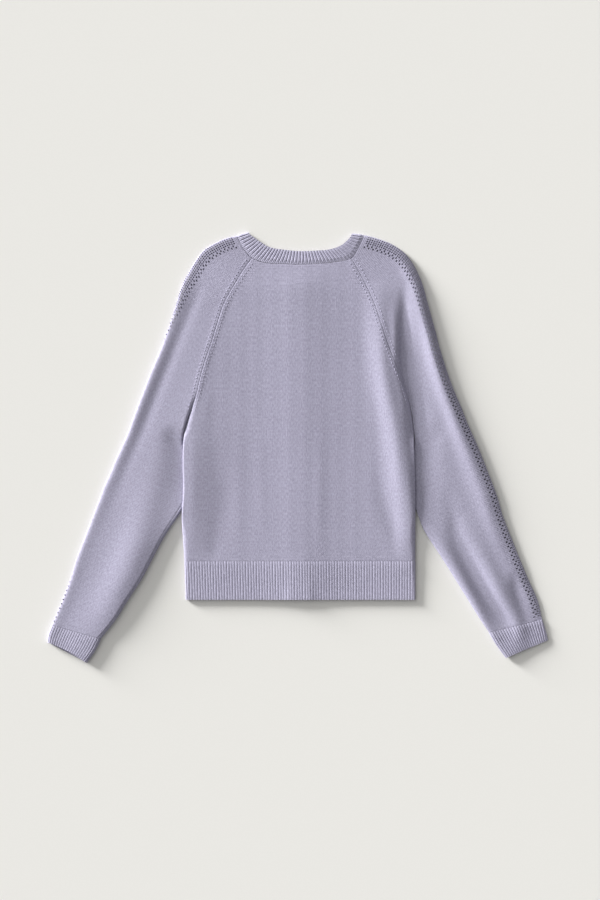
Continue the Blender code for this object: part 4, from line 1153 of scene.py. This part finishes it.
def makeButton():
    profile, sides, count = button["profile"], button["sides"], button["holeSides"]
    verts, faces = [], []
    for radius, z in profile:
        verts += ringOf(radius, z, np.arange(sides) * 2 * math.pi / sides)
    for ring in range(len(profile) - 1):
        for k in range(sides):
            a, b = ring * sides + k, ring * sides + (k + 1) % sides
            faces.append((a, a + sides, b + sides, b))
    # the middle has four sewing holes, each a short tube through it
    for hole in range(4):
        turn = (hole + 0.5) * math.pi / 2
        centre = np.array([math.cos(turn), math.sin(turn)]) * button["holeRing"]
        first = len(verts)
        for z in (profile[0][1], profile[-1][1]):
            verts += ringOf(button["holeRadius"], z,
                            turn - math.pi + 2 * math.pi * np.arange(count) / count, centre)
        for k in range(count):
            a, b = first + k, first + (k + 1) % count
            faces.append((a, b, b + count, a + count))
        # fill the quarter between its hole and the ring, on both faces
        for level, ring in ((0, 0), (1, len(profile) - 1)):
            middle = len(verts)
            verts.append((0, 0, profile[ring][1]))
            rim = [ring * sides + (hole * sides // 4 + k) % sides
                   for k in range(sides // 4 + 1)]
            loop = [first + level * count + k for k in range(count)]
            step = -1 if level else 1
            faces += [face[::step] for face in bridge(verts, rim, loop, middle)]
    return newObject("button", verts, [], [face for face in faces if len(set(face)) > 2])


def bridge(verts, rim, loop, middle):
    # faces between a hole and the quarter round it: loop point k = 0 looks to the middle
    count = len(loop)
    outline = [middle] + rim
    points = np.array([verts[k][:2] for k in outline])
    hole = np.array([verts[k][:2] for k in loop])
    centre = hole.mean(axis=0)
    outAngle = np.unwrap(np.arctan2(*(points - centre).T[::-1]))
    holeAngle = np.unwrap(np.arctan2(*(hole - centre).T[::-1]))
    holeAngle += 2 * math.pi * round((outAngle[0] - holeAngle[0]) / (2 * math.pi))
    faces, i, j = [], 0, 0
    total = len(outline)
    while i < total or j < count:
        nextOut = outAngle[(i + 1) % total] + (2 * math.pi if i + 1 >= total else 0)
        nextIn = holeAngle[(j + 1) % count] + (2 * math.pi if j + 1 >= count else 0)
        if j >= count or (i < total and nextOut <= nextIn):
            faces.append((outline[i % total], loop[j % count], outline[(i + 1) % total]))
            i += 1
        else:
            faces.append((outline[i % total], loop[j % count], loop[(j + 1) % count]))
            j += 1
    return faces


def sewButtons():
    first = makeButton()
    places = [(body["centreX"], y, 0.0) for y in np.linspace(
        bands["firstButtonY"], bands["lastButtonY"], bands["buttons"])]
    row = newObject("buttons", places, [], [])
    tree, given = newTree("buttons in place", {"Button": ("Object", None),
                                               "Material": ("Material", None)})
    shape = addNode(tree, "GeometryNodeObjectInfo", {0: given["Button"]})
    placed = addNode(tree, "GeometryNodeInstanceOnPoints",
                     {"Points": given["Geometry"], "Instance": shape.outputs["Geometry"]})
    finishTree(tree, placed.outputs[0], given["Material"])
    applyTree(row, tree, {"Button": first, "Material": resin})
    bpy.data.objects.remove(first)
    finishPiece(row, 40)
    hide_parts(*["button_%d" % (k + 1) for k in range(bands["buttons"])])


sewButtons()


print("linking the seams")

linked = {
    # one stitch: length, rise, thickness, how thin its ends are and how flat it lies
    "length": 2.2, "bow": 0.385, "thread": 0.3, "ends": 0.45, "flat": 1.5,
    # stations from the neck and from the underarm, and places along the way
    "raglanRun": (0.15, 0.2, 120), "markRun": (0.4, 1.2, 90), "probe": 0.4,
    "pitch": 2.6, "inset": 1.7, "raglanSize": (0.9, 0.6, 0.5),
    "neckSize": (1.0, 0.7, 0.6), "neckEnds": 4, "neckSunk": 0.3,
    # marks of the narrowing, beside the seam on the back and on both sleeves
    "markPitch": 5.6, "markInset": 5.6, "markSize": (1.4, 1.2, 1.1),
    "markWays": [(0.25, -1, 0), (-0.25, -1, 0), (-0.6, -0.8, 0), (0.5, -0.85, 0)],
}


def makeStitch():
    # one loop of the linking chain: a bent strand, thin at both ends
    rings, sides = 5, 5
    verts, faces = [], []
    for k in range(rings):
        t = k / (rings - 1)
        bow = math.sin(t * math.pi)
        r = linked["thread"] * (linked["ends"] + (1 - linked["ends"]) * bow)
        verts += [((t - 0.5) * linked["length"], y * linked["flat"], linked["bow"] * bow + z)
                  for y, z, _ in ringOf(r, 0, np.arange(sides) * 2 * math.pi / sides)]
    for k in range(rings - 1):
        for j in range(sides):
            a, b = k * sides + j, k * sides + (j + 1) % sides
            faces.append((a, b, b + sides, a + sides))
    faces += [tuple(range(sides))[::-1], tuple(range((rings - 1) * sides, rings * sides))]
    return newObject("stitch", verts, [], faces)


def tracedRow(lineAt, stations, inset, fromEnd):
    # places on the cloth at a distance from its edge, with the way it faces
    beside = linked["probe"] * np.array([-1, 0, 1])
    rows = []
    for station in stations:
        line = lineAt(station)
        edge, step = (line.marks[-1], -1) if fromEnd else (line.marks[0], 1)
        rows.append(line.atDistance(edge + step * (inset + beside)))
    rows = np.array(rows)
    facing = np.cross(np.gradient(rows[:, 1], axis=0), rows[:, 2] - rows[:, 0])
    facing /= np.linalg.norm(facing, axis=1)[:, None]
    return rows[:, 1], facing * np.sign(facing[:, 2].mean())


def sewRow(name, rows, pitch, size, stitch, seed, way=None):
    # way is the direction of each row's stitches, or they follow it
    verts, facings, ways, edges = [], [], [], []
    for number, (places, facing) in enumerate(rows):
        edges += [(len(verts) + k, len(verts) + k + 1) for k in range(len(places) - 1)]
        verts += list(places)
        facings += list(facing)
        ways += (list(np.gradient(places, axis=0)) if way is None
                 else [way[number]] * len(places))
    item = newObject(name, verts, edges, [])
    setAttribute(item.data, "facing", "FLOAT_VECTOR", facings)
    setAttribute(item.data, "way", "FLOAT_VECTOR", ways)
    applyTree(item, stitchRow, {"Stitch": stitch, "Stitch Pitch": pitch * mm,
                                "Stitch Size": size, "Seed": seed, "Material": linking})
    item.data.shade_smooth()
    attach(item, "root")


def raglanRun(fromNeck, fromUnderarm, count):
    return np.linspace(fromNeck, underarm - fromUnderarm, count)


def linkSeams():
    stitch = makeStitch()
    run = raglanRun(*linked["raglanRun"])
    rows = [tracedRow(backLine, run, linked["inset"], fromEnd) for fromEnd in (False, True)]
    sewRow("raglanLinking", rows, linked["pitch"], linked["raglanSize"], stitch, 3)
    run = raglanRun(*linked["markRun"])
    rows = [tracedRow(lineAt, run, linked["markInset"], fromEnd) for lineAt, fromEnd in (
        (backLine, False), (backLine, True), (lambda s: sleeveLine("left", s), False),
        (lambda s: sleeveLine("right", s), False))]
    sewRow("fashioningMarks", rows, linked["markPitch"], linked["markSize"], stitch, 5,
           linked["markWays"])
    # round the neck, on the body side of the neckband's seam
    line = neckLine(collar["rows"][0])
    places = line.atDistance(np.linspace(line.marks[1] + linked["neckEnds"],
                                         line.marks[2] - linked["neckEnds"], 200))
    places[:, 2] = topHeight(places[:, 0], places[:, 1]) - linked["neckSunk"]
    sewRow("neckLinking", [(places, np.tile([0.0, 0.0, 1.0], (len(places), 1)))],
           linked["pitch"], linked["neckSize"], stitch, 7)
    bpy.data.objects.remove(stitch)


linkSeams()


print("lighting the studio")

studio = {
    # strength, degrees over the floor, degrees round it, and softness in degrees
    "window": (9.4, 10.0, 145.0, 16.0), "wall": (1.15, 36.0, 145.0, 66.0),
    "sky": 0.29, "daylight": (1.0, 0.995, 0.985),
    "floorHalf": 4000.0, "floorZ": -0.4,        # in mm, just under the cloth
    # the camera looks straight down; 1.44 m of floor fills the frame's height
    "cameraHeight": 3.0, "seen": 1.44, "sensor": 36.0, "middle": (0.00472, -0.0048),
}


# Seamless paper sweep: matt, very pale and slightly warm, with a faint tooth.
paper = {"dark": "#E5E4E0", "light": "#E9E8E4", "tooth": 420.0, "rough": 0.95, "gloss": 0.1}


def makeFloor():
    far, z = studio["floorHalf"], studio["floorZ"]
    floor = newObject("floor", [(-far, -far, z), (far, -far, z), (far, far, z),
                                (-far, far, z)], [], [(0, 1, 2, 3)])
    material, tree, shader, place = newMaterial("matt studio paper")
    tooth = noise(tree, place, paper["tooth"], 3.0)
    fillSockets(tree, shader, {
        "Base Color": mixColours(tree, tooth, hexColour(paper["dark"]),
                                 hexColour(paper["light"])),
        "Roughness": paper["rough"], "Specular IOR Level": paper["gloss"]})
    floor.data.materials.append(material)


def makeLight(name, strength, height, turn, softness):
    light = bpy.data.lights.new(name, "SUN")
    light.energy = strength
    light.angle = math.radians(softness)
    light.color = studio["daylight"]
    item = bpy.data.objects.new(name, light)
    bpy.context.scene.collection.objects.link(item)
    item.rotation_euler = (math.radians(90 - height), 0, math.radians(turn + 90))


def makeSky():
    world = bpy.context.scene.world or bpy.data.worlds.new("studio")
    bpy.context.scene.world = world
    world.use_nodes = True
    fillSockets(world.node_tree, world.node_tree.nodes["Background"],
                {"Color": (1.0, 1.0, 1.0, 1.0), "Strength": studio["sky"]})


def makeCamera():
    camera = bpy.data.cameras.new("overhead camera")
    camera.sensor_width = studio["sensor"]
    camera.sensor_fit = "AUTO"
    camera.lens = studio["sensor"] * studio["cameraHeight"] / studio["seen"]
    camera.clip_start, camera.clip_end = 0.05, 30.0
    item = bpy.data.objects.new("overhead camera", camera)
    item.location = (*studio["middle"], studio["cameraHeight"])
    bpy.context.scene.collection.objects.link(item)
    bpy.context.scene.camera = item
    bpy.context.scene.view_settings.view_transform = "Standard"


makeFloor()
makeLight("low window light", *studio["window"])
makeLight("white wall bounce", *studio["wall"])
makeSky()
makeCamera()
